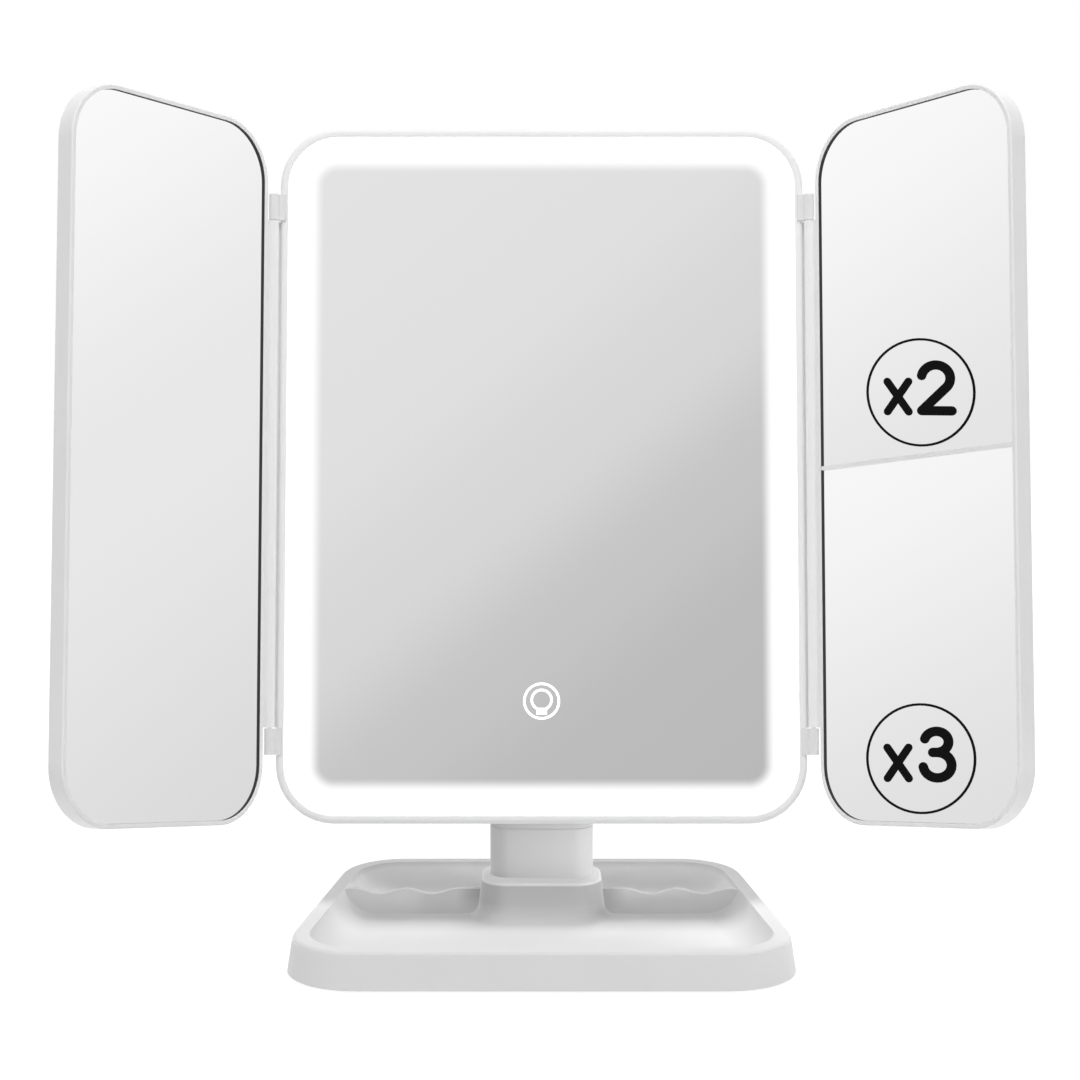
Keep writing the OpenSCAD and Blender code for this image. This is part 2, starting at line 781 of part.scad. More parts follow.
module board_posts() {
    for (x = [-1, 1]) translate([x * (board_half.x - board_post_in), board_y, 0]) children();
}

// Walls that stand inside: the slot's cheeks, its roof and front, the battery bay and the board's posts
module housing_walls() {
    deep = bulge_in_d + bind;
    rib_d = bulge_in_d - rib_short;
    block([-slot_half - cheek_t, bulge_up + bind, -deep],
        [slot_half + cheek_t, slot_top + cheek_t, -casing_d]);
    difference() {
        block([-bay_x - bay_wall, bay_low - bay_wall, -deep],
            [bay_x + bay_wall, bay_high + bay_wall, -bay_floor + bay_wall]);
        block([-bay_x, bay_low, -bulge_d - over], [bay_x, bay_high, -bay_floor]);
    }
    block([-rib_half, bay_low - bind, -rib_d], [rib_half, bay_high + bind, -bay_floor + bind]);
    translate([0, 0, -deep]) board_posts() cylinder(r = board_post_r, h = deep - board_back);
}

// Round-ended plate at the inlet between two depths, grown on all sides
module usb_plate(grow, d0, d1) {
    half = usb_half + [grow, grow];
    translate([usb_at.x, usb_at.y, 0])
        plate(rect_centres(2 * half.x, 2 * half.y, usb_r + grow, -half.y), usb_r + grow, -d1, -d0);
}

// Cuts a hole through the bulge's back wall, half.x and half.y to each side of a place
module wall_hole(at, half) {
    translate([at.x, at.y, 0])
        block([-half.x, -half.y, -bulge_d - over], [half.x, half.y, -bulge_in_d + over]);
}

module rear_housing() {
    color(white) in_head() difference() {
        union() {
            difference() {
                housing_outer();
                plate(bulge_centres, bulge_r - housing_t, -bulge_in_d, -casing_d + over);
            }
            housing_walls();
        }
        // the neck's slot, open below and behind
        block([-slot_half, -over, -bulge_d - over], [slot_half, slot_top, -slot_front]);
        translate([0, pivot_up, -pivot_back])
            rod_x(shaft_r + run_gap, -slot_half - cheek_t - over, slot_half + cheek_t + over);
        // openings in the back wall
        block([-bay_x, bay_low, -bulge_d - over], [bay_x, bay_high, -bulge_in_d]);
        block([-bay_x - door_out, bay_low - door_out, -bulge_d - over],
            [bay_x + door_out, bay_high + door_out, -bulge_d + door_t + part_gap]);
        usb_plate(gap, bulge_in_d - over, bulge_d + over);
        wall_hole(switch_at, knob_slot);
        housing_screw_places() translate([0, 0, -back_d - over]) {
            cylinder(r = screw_hole_r, h = housing_t + 2 * over);
            cylinder(r = pocket_r, h = over + head_t + gap);
        }
    }
}

// The door's plate lies in a shallow recess, and its rim reaches into the mouth of the bay
module battery_door() {
    plate_x = bay_x + door_out - part_gap;
    rim_x = bay_x - part_gap;
    grip = [14, 0.8, 0.3];              // one of the grooves that the thumb holds the door by
    color(white) in_head() difference() {
        union() {
            block([-plate_x, bay_low - door_out + part_gap, -bulge_d],
                [plate_x, bay_high + door_out - part_gap, -bulge_d + door_t]);
            block([-rim_x, bay_low + part_gap, -bulge_d + door_t - bind],
                [rim_x, bay_high - part_gap, -bulge_in_d + door_lip - part_gap]);
        }
        block([-rim_x + door_rim, bay_low + part_gap + door_rim, -bulge_d + door_t + bind],
            [rim_x - door_rim, bay_high - part_gap - door_rim, -bulge_in_d + door_lip + over]);
        for (i = [0 : 3]) translate([0, bay_high - 4 + 2 * i * grip.y, -bulge_d])
            block([-grip.x / 2, -grip.y / 2, -over], [grip.x / 2, grip.y / 2, grip.z]);
    }
}

module housing_screws() {
    color(steel) in_head() housing_screw_places()
        translate([0, 0, -back_d + head_t + gap]) screw(back_d - head_t - gap - screw_tip_d);
}

module control_board() {
    color(board_green) in_head() translate([0, board_y, -board_back]) {
        block([-board_half.x, -board_half.y, 0], [board_half.x, board_half.y, board_t]);
        translate([0, 0, board_t]) {    // a chip, a coil and a plug
            block([-6, -4, 0], [4, 4, 1.2]);
            block([10, -3, 0], [15, 3, 2]);
            block([-20, -3, 0], [-12, 2, 1.5]);
        }
    }
}

module cell_rows() {
    for (s = [0, 1], row = [0, 1]) mirror([s, 0, 0])
        translate([0, bay_low + cell_gap + cell_r + row * cell_pitch, -cell_d]) children();
}

module aa_cells() {
    color([0.20, 0.22, 0.25]) in_head() cell_rows() translate([cell_start, 0, 0]) {
        rod_x(cell_r, 0, cell_len);
        rod_x(2.7, cell_len - gap, cell_len + cell_tip);
    }
}

module contact_plate(x) {
    block([x, -contact_half, -contact_half], [x + contact_t, contact_half, contact_half]);
}

module battery_contacts() {
    color(steel) in_head() cell_rows() {
        contact_plate(rib_half);
        rod_x(spring_r, rib_half + contact_t, cell_start - gap);
        contact_plate(bay_x - contact_t);
    }
}

// The socket's sleeve, with a flange that lies against the inside of the wall
module usb_socket() {
    flange = usb_half + [2, 0];
    color(steel) in_head() difference() {
        union() {
            usb_plate(0, bulge_d - usb_long, bulge_d - usb_wall);
            translate([usb_at.x, usb_at.y, 0])
                block([-flange.x, -flange.y, -bulge_in_d], [flange.x, flange.y, 1 - bulge_in_d]);
        }
        usb_plate(-usb_wall, bulge_d - usb_long + 1, bulge_d + over);
    }
}

module switch_body() {
    well = knob_slot + [0.3, 0];
    color([0.2, 0.2, 0.2]) in_head() translate([switch_at.x, switch_at.y, -bulge_in_d]) difference() {
        block([-switch_half.x, -switch_half.y, 0], [switch_half.x, switch_half.y, switch_depth]);
        block([-well.x, -well.y, -over], [well.x, well.y, switch_depth - 1.4]);
    }
}

// Rests at the off end, on the side of the middle of the head, and has three ribs for the finger
module switch_slider() {
    rib = [0.6, 0.4];
    color([0.12, 0.12, 0.13]) in_head()
        translate([switch_at.x - switch_travel / 2, switch_at.y, -bulge_d]) {
            block([-knob_half.x, -knob_half.y, -rib.y / 2], [knob_half.x, knob_half.y, housing_t + 2.6]);
            for (i = [-1 : 1]) translate([i * (knob_half.x - rib.x / 2), 0, 0])
                block([-rib.x / 2, -knob_half.y, -3 * rib.y / 2], [rib.x / 2, knob_half.y, 0]);
        }
}

// ---------- tilt hardware ----------

module in_pivot() {
    in_head() translate([0, pivot_up, -pivot_back]) children();
}

cheek_end = slot_half + cheek_t;
spring_t = 1;
shaft_end = cheek_end + gap + spring_t + gap;   // inner face of the shaft's head and of its nut
nut_t = 2.6;
module pivot_shaft() {
    color(steel) in_pivot() {
        rod_x(shaft_r, -shaft_end - over, shaft_end + nut_t + 0.8);
        rod_x(shaft_r + 2.2, -shaft_end - 2, -shaft_end);
    }
}

module washer_x(r_out, x0, x1) {
    difference() {
        rod_x(r_out, x0, x1);
        rod_x(shaft_r + run_gap, x0 - over, x1 + over);
    }
}

module friction_washers() {
    color(foam_grey) in_pivot() for (s = [0, 1]) mirror([s, 0, 0])
        washer_x(neck_d / 2 - 1.2, neck_w / 2 + gap, neck_w / 2 + gap + washer_t);
}

module spring_washers() {
    color(steel) in_pivot() for (s = [0, 1]) mirror([s, 0, 0])
        washer_x(shaft_r + 2, cheek_end + gap, cheek_end + gap + spring_t);
}

module pivot_nut() {
    color(steel) in_pivot() translate([shaft_end, 0, 0]) difference() {
        rotate([0, 90, 0]) cylinder(r = shaft_r + 2.6, h = nut_t, $fn = 6);
        rod_x(shaft_r + run_gap, -over, nut_t + over);
    }
}

// ---------- wing hinges ----------

axis_x = panel_w / 2 + axis_out;
spine_low = block_in + block_h / 2 + part_gap;
spine_high = panel_h - spine_low;
pin_hold = block_h - 1.5;               // how far a pin reaches into its block, and into the spine
pin_run = 6;
pin_hole_r = pin_r + 0.02;              // the pins sit tight in the blocks and run in the spine
leaf_face = axis_front - 0.1;           // front face of the blocks' leaves

module upright(r, y0, y1) {
    translate([0, y0, 0]) rotate([-90, 0, 0]) cylinder(r = r, h = y1 - y0);
}

module hinge_blocks() {
    for (y = block_ys) difference() {
        translate([0, y - block_h / 2, 0]) {
            translate([axis_x, 0, axis_front]) upright(barrel_r, 0, block_h);
            block([panel_w / 2 - leaf_in, 0, -leaf_d], [panel_w / 2, block_h, leaf_face]);
            block([panel_w / 2 - over, 0, axis_front - barrel_r], [axis_x, block_h, leaf_face]);
        }
        translate([axis_x, 0, axis_front]) {
            if (y < panel_h / 2) upright(pin_hole_r, y + block_h / 2 - pin_hold, panel_h / 2);
            else upright(pin_hole_r, panel_h / 2, y - block_h / 2 + pin_hold);
        }
    }
}

module hinge_blocks_left() {
    color(pale) in_head() mirror([1, 0, 0]) hinge_blocks();
}

module hinge_blocks_right() {
    color(pale) in_head() hinge_blocks();
}

module hinge_pins() {
    color(steel) in_head() for (s = [0, 1]) mirror([s, 0, 0])
        translate([axis_x, 0, axis_front]) {
            upright(pin_r, spine_low - part_gap - pin_hold, spine_low + pin_run);
            upright(pin_r, spine_high - pin_run, spine_high + part_gap + pin_hold);
        }
}

// ---------- wings: x out from the hinge axis, y up, z towards the front ----------

module in_wing(side) {
    in_head() mirror([side < 0 ? 1 : 0, 0, 0])
        translate([axis_x, 0, axis_front]) rotate([0, -wing_rest, 0]) children();
}

wing_in = 2.4;                          // the wing's inner edge, out from the hinge axis
wing_centres = [for (p = rect_centres(wing_w, panel_h, panel_r)) p + [wing_in + wing_w / 2, 0]];
wing_wall = 1;
wing_lip = 0.3;
wing_foam_in = 2;                       // tape, in from the wing's edge
bar_sink = 0.3;                         // how far the bar's face lies behind the wing's
wing_glass_d = 1.8;
wing_foam_t = 0.6;
flange_d = wing_glass_d + wing_glass_t + wing_foam_t;
flange_t = 1;
flange_in = 8;
wing_back_d = flange_d + flange_t;
wing_front_round = 0.6;
wing_back_round = 0.8;

module wing_section() {
    difference() {
        union() {
            band(0, wing_wall, 0, wing_t);
            band(0, wing_rim, 0, wing_lip);
            band(0, flange_in, flange_d, flange_d + flange_t);
        }
        round_cut(panel_r, 0, wing_front_round, 1, 1);
        round_cut(panel_r, -wing_t, wing_back_round, 1, -1);
    }
}

module wing_frame() {
    difference() {
        union() {
            translate([0, 0, -axis_front]) sweep_round(wing_centres) wing_section();
            upright(barrel_r, spine_low, spine_high);
            block([0, spine_low, -barrel_r], [wing_in + wing_wall / 2, spine_high, -axis_front]);
        }
        upright(pin_r + run_gap, spine_low - over, spine_low + pin_run + 1);
        upright(pin_r + run_gap, spine_high - pin_run - 1, spine_high + over);
    }
}

module wing_plate(in0, d0, d1) {
    translate([0, 0, -axis_front]) plate(wing_centres, panel_r - in0, -d1, -d0);
}

module wing_ring(in0, in1, d0, d1) {
    translate([0, 0, -axis_front]) ring_plate(wing_centres, panel_r - in0, panel_r - in1, -d1, -d0);
}

module wing_glass() {
    wing_plate(wing_wall + gap, wing_glass_d, wing_glass_d + wing_glass_t);
}

module wing_back() {
    wing_plate(wing_wall + gap, wing_back_d, wing_t - 0.2);
}

module wing_gasket() {
    wing_ring(wing_wall + run_gap, wing_rim, wing_lip + run_gap, wing_glass_d - run_gap);
}

module wing_foam() {
    wing_ring(wing_foam_in, flange_in - 1, wing_glass_d + wing_glass_t, flange_d);
}

module left_wing_frame() { color(white) in_wing(-1) wing_frame(); }
module left_wing_back() { color(pale) in_wing(-1) wing_back(); }
module left_wing_mirror() { color(silver_glass) in_wing(-1) wing_glass(); }
module left_wing_gasket() { color(black) in_wing(-1) wing_gasket(); }
module left_wing_foam() { color(foam_grey) in_wing(-1) wing_foam(); }
module right_wing_frame() { color(white) in_wing(1) wing_frame(); }
module right_wing_back() { color(pale) in_wing(1) wing_back(); }
module right_wing_gasket() { color(black) in_wing(1) wing_gasket(); }
module right_wing_foam() { color(foam_grey) in_wing(1) wing_foam(); }

// The part of the right wing's glass between two heights
module glass_between(y0, y1) {
    color(silver_glass) in_wing(1) intersection() {
        wing_glass();
        block([0, y0, -wing_t], [wing_w + 2 * wing_in, y1, 0]);
    }
}

module right_upper_mirror() {
    glass_between(bar_up + bar_h / 2 + gap, panel_h);
}

module right_lower_mirror() {
    glass_between(0, bar_up - bar_h / 2 - gap);
}

module right_wing_bar() {
    side = wing_in + wing_rim + gap;
    color(pale) in_wing(1) translate([0, bar_up, -axis_front])
        block([side, -bar_h / 2, -wing_glass_d - wing_glass_t],
            [2 * wing_in + wing_w - side, bar_h / 2, -bar_sink]);
}

// ---------- magnification signs ----------

sign_k = sign_w / sign_h;               // how much wider than high the signs are drawn
sign_ring = 0.8;

// Strokes are drawn in round proportions, centred on the sign, and are stretched and slanted last
function stretch(points, slant) = [for (p = points) [p.x * sign_k, p.y - slant * p.x * sign_k]];
function disc_points(c, r, n) = [for (i = [0 : n - 1]) c + r * [cos(360 * i / n), sin(360 * i / n)]];
// Bar with round ends from a to b
function bar_points(a, b, w, n = 8) = let (h = heading(a, b)) concat(
    [for (i = [0 : n]) b + w / 2 * [cos(h - 90 + 180 * i / n), sin(h - 90 + 180 * i / n)]],
    [for (i = [0 : n]) a + w / 2 * [cos(h + 90 + 180 * i / n), sin(h + 90 + 180 * i / n)]]);
function on_arc(c, r, angle) = c + [r.x * cos(angle), r.y * sin(angle)];
// Bar bent round c with radii r, from one angle to another
function arc_points(c, r, w, from, to, n = 20) = concat(
    [for (i = [0 : n]) on_arc(c, r + [w, w] / 2, from + (to - from) * i / n)],
    [for (i = [0 : n]) on_arc(c, r - [w, w] / 2, to + (from - to) * i / n)]);

module bar(a, b, w, slant) { polygon(stretch(bar_points(a, b, w), slant)); }
module arc(c, r, w, from, to, slant) { polygon(stretch(arc_points(c, r, w, from, to), slant)); }
module dot(c, w, slant) { polygon(stretch(disc_points(c, w / 2, 16), slant)); }

numeral_line = 3.1;
times_line = 2.6;

module times_sign(slant) {
    left = -10.8;
    right = -3.7;
    low = -6.5;
    high = 3.6;
    bar([left, low], [right, high], times_line, slant);
    bar([left, high], [right, low], times_line, slant);
}

// A hook, a slanting stroke and a foot
module numeral_two(slant) {
    bowl = [5.3, 4.6];
    bowl_r = [4.7, 4.4];
    foot = [0.6, -6.1];
    arc(bowl, bowl_r, numeral_line, -38, 168, slant);
    dot(on_arc(bowl, bowl_r, 168), numeral_line, slant);
    bar(on_arc(bowl, bowl_r, -38), foot, numeral_line, slant);
    bar(foot, foot + [9.8, 0], numeral_line, slant);
}

// Two bowls that meet in the middle, with round ends
module numeral_three(slant) {
    upper = [5.4, 5.4];
    upper_r = [3.9, 3.4];
    lower = [5.6, -2.1];
    lower_r = [4.6, 4.1];
    middle = [4.2, 2];
    arc(upper, upper_r, numeral_line, -90, 163, slant);
    dot(on_arc(upper, upper_r, 163), numeral_line, slant);
    arc(lower, lower_r, numeral_line, -172, 90, slant);
    dot(on_arc(lower, lower_r, -172), numeral_line, slant);
    bar(middle, middle + [1.4, 0], numeral_line, slant);
}

module sign_oval(slant) {
    difference() {
        polygon(stretch(disc_points([0, 0], sign_h / 2, 60), slant));
        polygon(stretch(disc_points([0, 0], sign_h / 2 - sign_ring, 60), slant));
    }
}

module right_wing_signs() {
    color([0.06, 0.06, 0.06]) in_wing(1) translate([0, 0, -axis_front - wing_glass_d]) {
        translate([sign_upper_out, sign_upper, 0]) linear_extrude(sign_t) {
            sign_oval(sign_slant);
            times_sign(sign_slant);
            numeral_two(sign_slant);
        }
        translate([sign_lower_out, sign_lower, 0]) linear_extrude(sign_t) {
            sign_oval(0);
            times_sign(0);
            numeral_three(0);
        }
    }
}

base_shell();
bottom_cover();
ballast_plate();
rubber_feet();
base_screws();
neck_front_shell();
neck_rear_shell();
neck_screws();
pivot_head();
front_bezel();
light_diffuser();
centre_mirror();
mirror_foam();
mirror_carrier();
led_strip();
led_chips();
touch_sensor();
touch_sign();
rear_housing();
housing_screws();
control_board();
aa_cells();
battery_contacts();
usb_socket();
switch_body();
switch_slider();
battery_door();
hinge_blocks_left();
hinge_blocks_right();
hinge_pins();
pivot_shaft();
friction_washers();
spring_washers();
pivot_nut();
left_wing_frame();
left_wing_back();
left_wing_mirror();
left_wing_gasket();
left_wing_foam();
right_wing_frame();
right_wing_back();
right_upper_mirror();
right_lower_mirror();
right_wing_bar();
right_wing_gasket();
right_wing_foam();
right_wing_signs();
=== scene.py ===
# %% [markdown]
# # A trifold vanity mirror
#
# The real object is a lighted tabletop mirror: a tall centre mirror with a glowing ring round it, two
# folding side mirrors, and a tilting neck on a base that is also a cosmetics tray. The solids come from
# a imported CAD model, which stays as it is. This script gives them their finishes, adds the small pieces
# that a solid model leaves plain, and sets up the camera and the light.

import math

import bmesh
import bpy
from mathutils import Matrix, Vector


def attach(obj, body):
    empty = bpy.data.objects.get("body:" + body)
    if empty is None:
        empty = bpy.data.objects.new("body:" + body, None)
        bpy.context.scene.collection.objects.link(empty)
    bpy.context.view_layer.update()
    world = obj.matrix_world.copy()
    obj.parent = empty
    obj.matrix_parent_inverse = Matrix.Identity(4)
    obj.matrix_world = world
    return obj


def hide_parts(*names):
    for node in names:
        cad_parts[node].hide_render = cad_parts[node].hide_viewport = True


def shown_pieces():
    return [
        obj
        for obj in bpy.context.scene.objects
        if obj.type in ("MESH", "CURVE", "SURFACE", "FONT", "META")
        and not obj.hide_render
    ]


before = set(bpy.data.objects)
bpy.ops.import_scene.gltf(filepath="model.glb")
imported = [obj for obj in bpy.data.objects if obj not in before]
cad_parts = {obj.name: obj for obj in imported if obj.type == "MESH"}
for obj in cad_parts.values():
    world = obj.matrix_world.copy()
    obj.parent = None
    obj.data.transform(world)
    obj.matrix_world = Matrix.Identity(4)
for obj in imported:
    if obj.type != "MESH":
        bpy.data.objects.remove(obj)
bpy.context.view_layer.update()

# %% [markdown]
# ## Sizes that the finishes and the new pieces share
#
# Everything on the head is easiest to place in the head's own frame: x to the right, depth behind the
# front of the centre panel, and height above the panel's lower edge. The head leans back about the
# tilt shaft, so one matrix carries a place in that frame into the world. Sizes are in millimetres here
# and become metres only in that matrix.

# %% The head's own frame
MM = 0.001
TILT = math.radians(12.9)               # lean of the head as it stands
PIVOT_Y, PIVOT_Z = 20.9, 47.35          # the tilt shaft's place above the middle of the base
PIVOT_DEPTH, PIVOT_UP = 26.0, 11.0      # the same shaft, measured on the head
PANEL_H = 240.0
NECK_HALF_W = 18.0
BOSS_HALF_W, BOSS_HALF_D = 30.0, 20.0   # the neck's socket on the base, with some room round its foot
BOSS_LOW, BOSS_HIGH, RIM_HIGH = 4.5, 17.2, 12.9

to_millimetres = Matrix.Scale(MM, 4)
head_to_world = (to_millimetres
                 @ Matrix.Translation((0, PIVOT_Y, PIVOT_Z))
                 @ Matrix.Rotation(-TILT, 4, "X")
                 @ Matrix.Translation((0, -PIVOT_DEPTH, -PIVOT_UP)))
top = head_to_world @ Vector((0, 0, PANEL_H))
print("middle of the panel's top edge in mm:", [round(1000 * c, 1) for c in top])

# %% [markdown]
# ## The camera
#
# The photograph was taken from straight in front, a little above the middle, looking slightly down. The
# lens was worked out from how the panel, the wings and the hinges spread over the picture.

# %% Camera
LENS_MM, SENSOR_MM = 82.667, 36.0
CAMERA_PLACE = Vector((-0.55, -826.49, 255.92)) * MM
LOOKS_DOWN = math.radians(8.07)

camera_data = bpy.data.cameras.new("camera")
camera_data.lens = LENS_MM
camera_data.sensor_width = SENSOR_MM
camera = bpy.data.objects.new("camera", camera_data)
camera.location = CAMERA_PLACE
camera.rotation_euler = (math.pi / 2 - LOOKS_DOWN, 0, 0)
bpy.context.scene.collection.objects.link(camera)
bpy.context.scene.camera = camera
print("camera looks down by", round(math.degrees(LOOKS_DOWN), 2), "degrees")

# %% [markdown]
# ## Tools for finishes
#
# A finish is a node tree. Written node by node it is long and hard to read, so three small classes help.
# `Value` wraps a socket, and Python's own operators on it add Math nodes, so a mask can be written as an
# expression. `Nodes` wraps a tree, and its `node` method adds any node: settings first, then the values
# or links of its sockets. `Finish` is such a tree for a material with one Principled shader.

# %% Shader tools
WHITE = (1.0, 1.0, 1.0, 1.0)


def grey(level):
    """A neutral colour for a shader socket."""
    return (level, level, level, 1.0)


def shown_as(tone):
    """The linear level that a tone of 0 to 255 on the screen stands for."""
    share = tone / 255
    return share / 12.92 if share <= 0.04045 else ((share + 0.055) / 1.055) ** 2.4


class Value:
    """A shader number that Python's operators work on."""

    def __init__(self, nodes, socket):
        self.nodes, self.socket = nodes, socket

    def math(self, operation, *others, clamp=False):
        return self.nodes.node("ShaderNodeMath", {"operation": operation, "use_clamp": clamp},
                               dict(enumerate((self, *others))))

    def __add__(self, other): return self.math("ADD", other)
    def __radd__(self, other): return self.math("ADD", other)
    def __sub__(self, other): return self.math("SUBTRACT", other)
    def __mul__(self, other): return self.math("MULTIPLY", other)
    def __rmul__(self, other): return self.math("MULTIPLY", other)
    def __truediv__(self, other): return self.math("DIVIDE", other)
    def __pow__(self, other): return self.math("POWER", other)
    def __rsub__(self, other): return (self * -1.0) + other
    def __abs__(self): return self.math("ABSOLUTE")
    def at_least(self, low): return self.math("MAXIMUM", low)
    def at_most(self, high): return self.math("MINIMUM", high)
    def clamped(self): return self.math("ADD", 0.0, clamp=True)

    def eased(self):
        """0 to 1 with soft ends, for a value that already runs from 0 to 1."""
        return self * self * (3.0 - 2.0 * self)


class Nodes:
    """The emptied node tree of a material or a world."""

    def __init__(self, owner):
        owner.use_nodes = True
        self.tree = owner.node_tree
        self.tree.nodes.clear()

    def node(self, kind, settings=None, values=None, out=0):
        """Adds a node. out names the output that comes back as a Value, or None for the node itself."""
        made = self.tree.nodes.new(kind)
        for setting, value in (settings or {}).items():
            if setting == "stops":
                ramp = made.color_ramp
                ramp.interpolation = "EASE"
                while len(ramp.elements) < len(value):
                    ramp.elements.new(0.5)
                for element, (place, colour) in zip(ramp.elements, value):
                    element.position, element.color = place, colour
            else:
                setattr(made, setting, value)
        for socket, value in (values or {}).items():
            self.put(made.inputs[socket], value)
        return made if out is None or not len(made.outputs) else Value(self, made.outputs[out])

    def put(self, socket, value):
        if isinstance(value, Value):
            self.tree.links.new(value.socket, socket)
        else:
            socket.default_value = value

    def axes(self, vector):
        apart = self.node("ShaderNodeSeparateXYZ", None, {"Vector": vector}, out=None)
        return [Value(self, apart.outputs[i]) for i in range(3)]

    def seen_directly(self):
        """1 for camera, glossy and transmission rays, and 0 for the rays that carry light."""
        paths = self.node("ShaderNodeLightPath", out=None)
        camera_ray, glossy, through = (Value(self, paths.outputs[f"Is {kind} Ray"])
                                       for kind in ("Camera", "Glossy", "Transmission"))
        return camera_ray.at_least(glossy).at_least(through)


class Finish(Nodes):
    """A material with one Principled shader, whose plain sockets are named in the call."""

    def __init__(self, name, **sockets):
        self.material = bpy.data.materials.new(name)
        super().__init__(self.material)
        self.shader = self.node("ShaderNodeBsdfPrincipled", out=None)
        self.node("ShaderNodeOutputMaterial", None, {"Surface": Value(self, self.shader.outputs[0])})
        for socket, value in sockets.items():
            self.feed(socket.replace("_", " "), value)

    def feed(self, socket, value):
        """Gives the shader's socket a value or a link."""
        self.put(self.shader.inputs[socket], value)
        return self

    def place(self, mapping=None):
        """Object coordinates, in metres, turned by a Mapping node's settings."""
        here = self.node("ShaderNodeTexCoord", out="Object")
        if mapping is None:
            return here
        return self.node("ShaderNodeMapping", None, {"Vector": here, **mapping})

    def noise(self, scale, detail=2.0, roughness=0.5, vector=None):
        return self.node("ShaderNodeTexNoise", None, {
            "Vector": vector or self.place(), "Scale": scale, "Detail": detail, "Roughness": roughness})

    def between(self, share, low, high):
        """A colour that runs from low to high as share runs from 0 to 1."""
        return self.node("ShaderNodeMix", {"data_type": "RGBA"}, {0: share, 6: low, 7: high}, out=2)

    def bump(self, height, strength, distance):
        made = self.node("ShaderNodeBump", None, {
            "Height": height, "Strength": strength, "Distance": distance})
        return self.feed("Normal", made)


finishes = {}
print("a tone of 218 is a linear level of", round(shown_as(218), 3))

# %% [markdown]
# ## White plastic
#
# The shells are injection-moulded ABS. The front frames, the neck and the base have a smooth satin skin:
# never quite flat, because the melt shrinks a little over ribs and bosses, so the gloss wavers over a few
# millimetres. The back covers come from a spark-eroded mould with a fine even grain. Both are made from
# noise on Object coordinates: a slow one for the gloss, a fine one for the relief.
#
# Some light and shade that a plain studio doesn't give is painted into the colour. The neck has painted
# shade on its left and painted light on its right. On the base, the socket's sides carry painted shade
# below a lip with painted light, and painted light makes the rear tray paler than the front one.

# %% White plastics
# painted shade darkens the socket's sides, and painted light brightens its lip and the rear tray
BOSS_SHADE, REAR_PAINTED_LIGHT = 0.3, 0.24       # how much darker the socket's sides are, and paler the rear tray
BOSS_FADE, LIP_FADE, REAR_FADE = 6.0, 0.6, 2.0      # the millimetres that these tones fade over
REAR_FROM = 18.5                        # where the rear tray starts


def satin_plastic(name, tone, roughness, grain=900.0, grain_depth=0.012 * MM, across=None):
    """Smooth moulded plastic: its gloss and tone waver slowly, and its skin has a faint orange peel.

    across gives half a width, and the shares that the tone has at its left and at its right end, a
    painted shade and light from side to side.
    """
    made = Finish(name, IOR=1.48)
    slow = made.noise(28.0, detail=2.0)
    level = (slow * 0.024 + 0.988) * tone
    # painted shade on one side and painted light on the other
    if across:
        half_w, left, right = across
        x, _, _ = made.axes(made.place())
        level = level * (left + (right - left) * (x / (2 * half_w * MM) + 0.5).clamped())
    made.level = level
    made.feed("Base Color", made.between(level, grey(0.0), WHITE))
    made.feed("Roughness", slow * 0.12 + (roughness - 0.06))
    made.bump(made.noise(grain, detail=3.0), 0.35, grain_depth)
    finishes[name] = made.material
    return made


def grained_plastic(name, tone, roughness, grain=2600.0, grain_depth=0.05 * MM):
    """Plastic from a spark-eroded mould: an even fine grain that takes the gloss away."""
    made = Finish(name, IOR=1.48)
    fine = made.node("ShaderNodeTexVoronoi", {"feature": "F1"}, {"Vector": made.place(), "Scale": grain})
    slow = made.noise(35.0, detail=1.0)
    made.feed("Base Color", made.between(slow, grey(tone * 0.985), grey(tone * 1.01)))
    made.feed("Roughness", fine * 0.15 + roughness)
    made.bump(fine, 0.4, grain_depth)
    finishes[name] = made.material
    return made


satin_plastic("frame_white", 0.83, 0.34)
# the hinge blocks are a darker copy of the frames' white: painted shade between the panel and the wings
satin_plastic("hinge_white_painted_shade", 0.74, 0.36)
base = satin_plastic("base_white", 0.74, 0.36)
x, y, z = (part / MM for part in base.axes(base.place()))
# painted shade on the socket's sides, below a lip with painted light, and painted light in the rear tray
near_neck = (((BOSS_HALF_W - abs(x)) / BOSS_FADE).clamped()
             * ((BOSS_HALF_D - abs(y - PIVOT_Y)) / BOSS_FADE).clamped())
below_lip = ((BOSS_HIGH - z) / LIP_FADE).clamped()
socket_painted_shade = near_neck * below_lip * ((z - BOSS_LOW) / BOSS_FADE).clamped()
lip_painted_light = near_neck * (1.0 - below_lip)
rear_painted_light = ((1.0 - near_neck) * ((y - REAR_FROM) / BOSS_FADE).clamped()
           * ((RIM_HIGH - z) / REAR_FADE).clamped())
# the base's colour carries this painted shade and painted light
shade = 1.0 - socket_painted_shade * BOSS_SHADE + (lip_painted_light + rear_painted_light) * REAR_PAINTED_LIGHT
base.feed("Base Color", base.between(base.level * shade, grey(0.0), WHITE))
# the neck has painted shade on its left and painted light on its right
satin_plastic("neck_white", 0.74, 0.33, across=(NECK_HALF_W, 0.86, 1.1))
grained_plastic("back_white", 0.74, 0.46)
grained_plastic("cover_white", 0.74, 0.5)
print("white finishes:", ", ".join(finishes))

# %% [markdown]
# ## Mirror glass
#
# Silvered glass is a metal without grain: Metallic 1 and almost no roughness. What it shows is the bright
# studio, which falls off from the upper left to the lower right. That fall-off is a painted reflection in
# the silver's colour, along a slanted line over the glass, so it stays the same from every side. The
# ring's light leaking a few millimetres into the edge of the centre glass is painted light, given off by
# the glass itself. Its strength comes from the distance to the glass's rounded edge.

# %% Mirror finishes
GLASS_HALF_W, GLASS_HALF_H, GLASS_R = 79.6, 109.1, 9.1     # the centre glass and its corner radius
# painted light: the ring's glow given off by the centre glass's edge
GLOW_W = 4.6                                               # how far the ring's light leaks into it


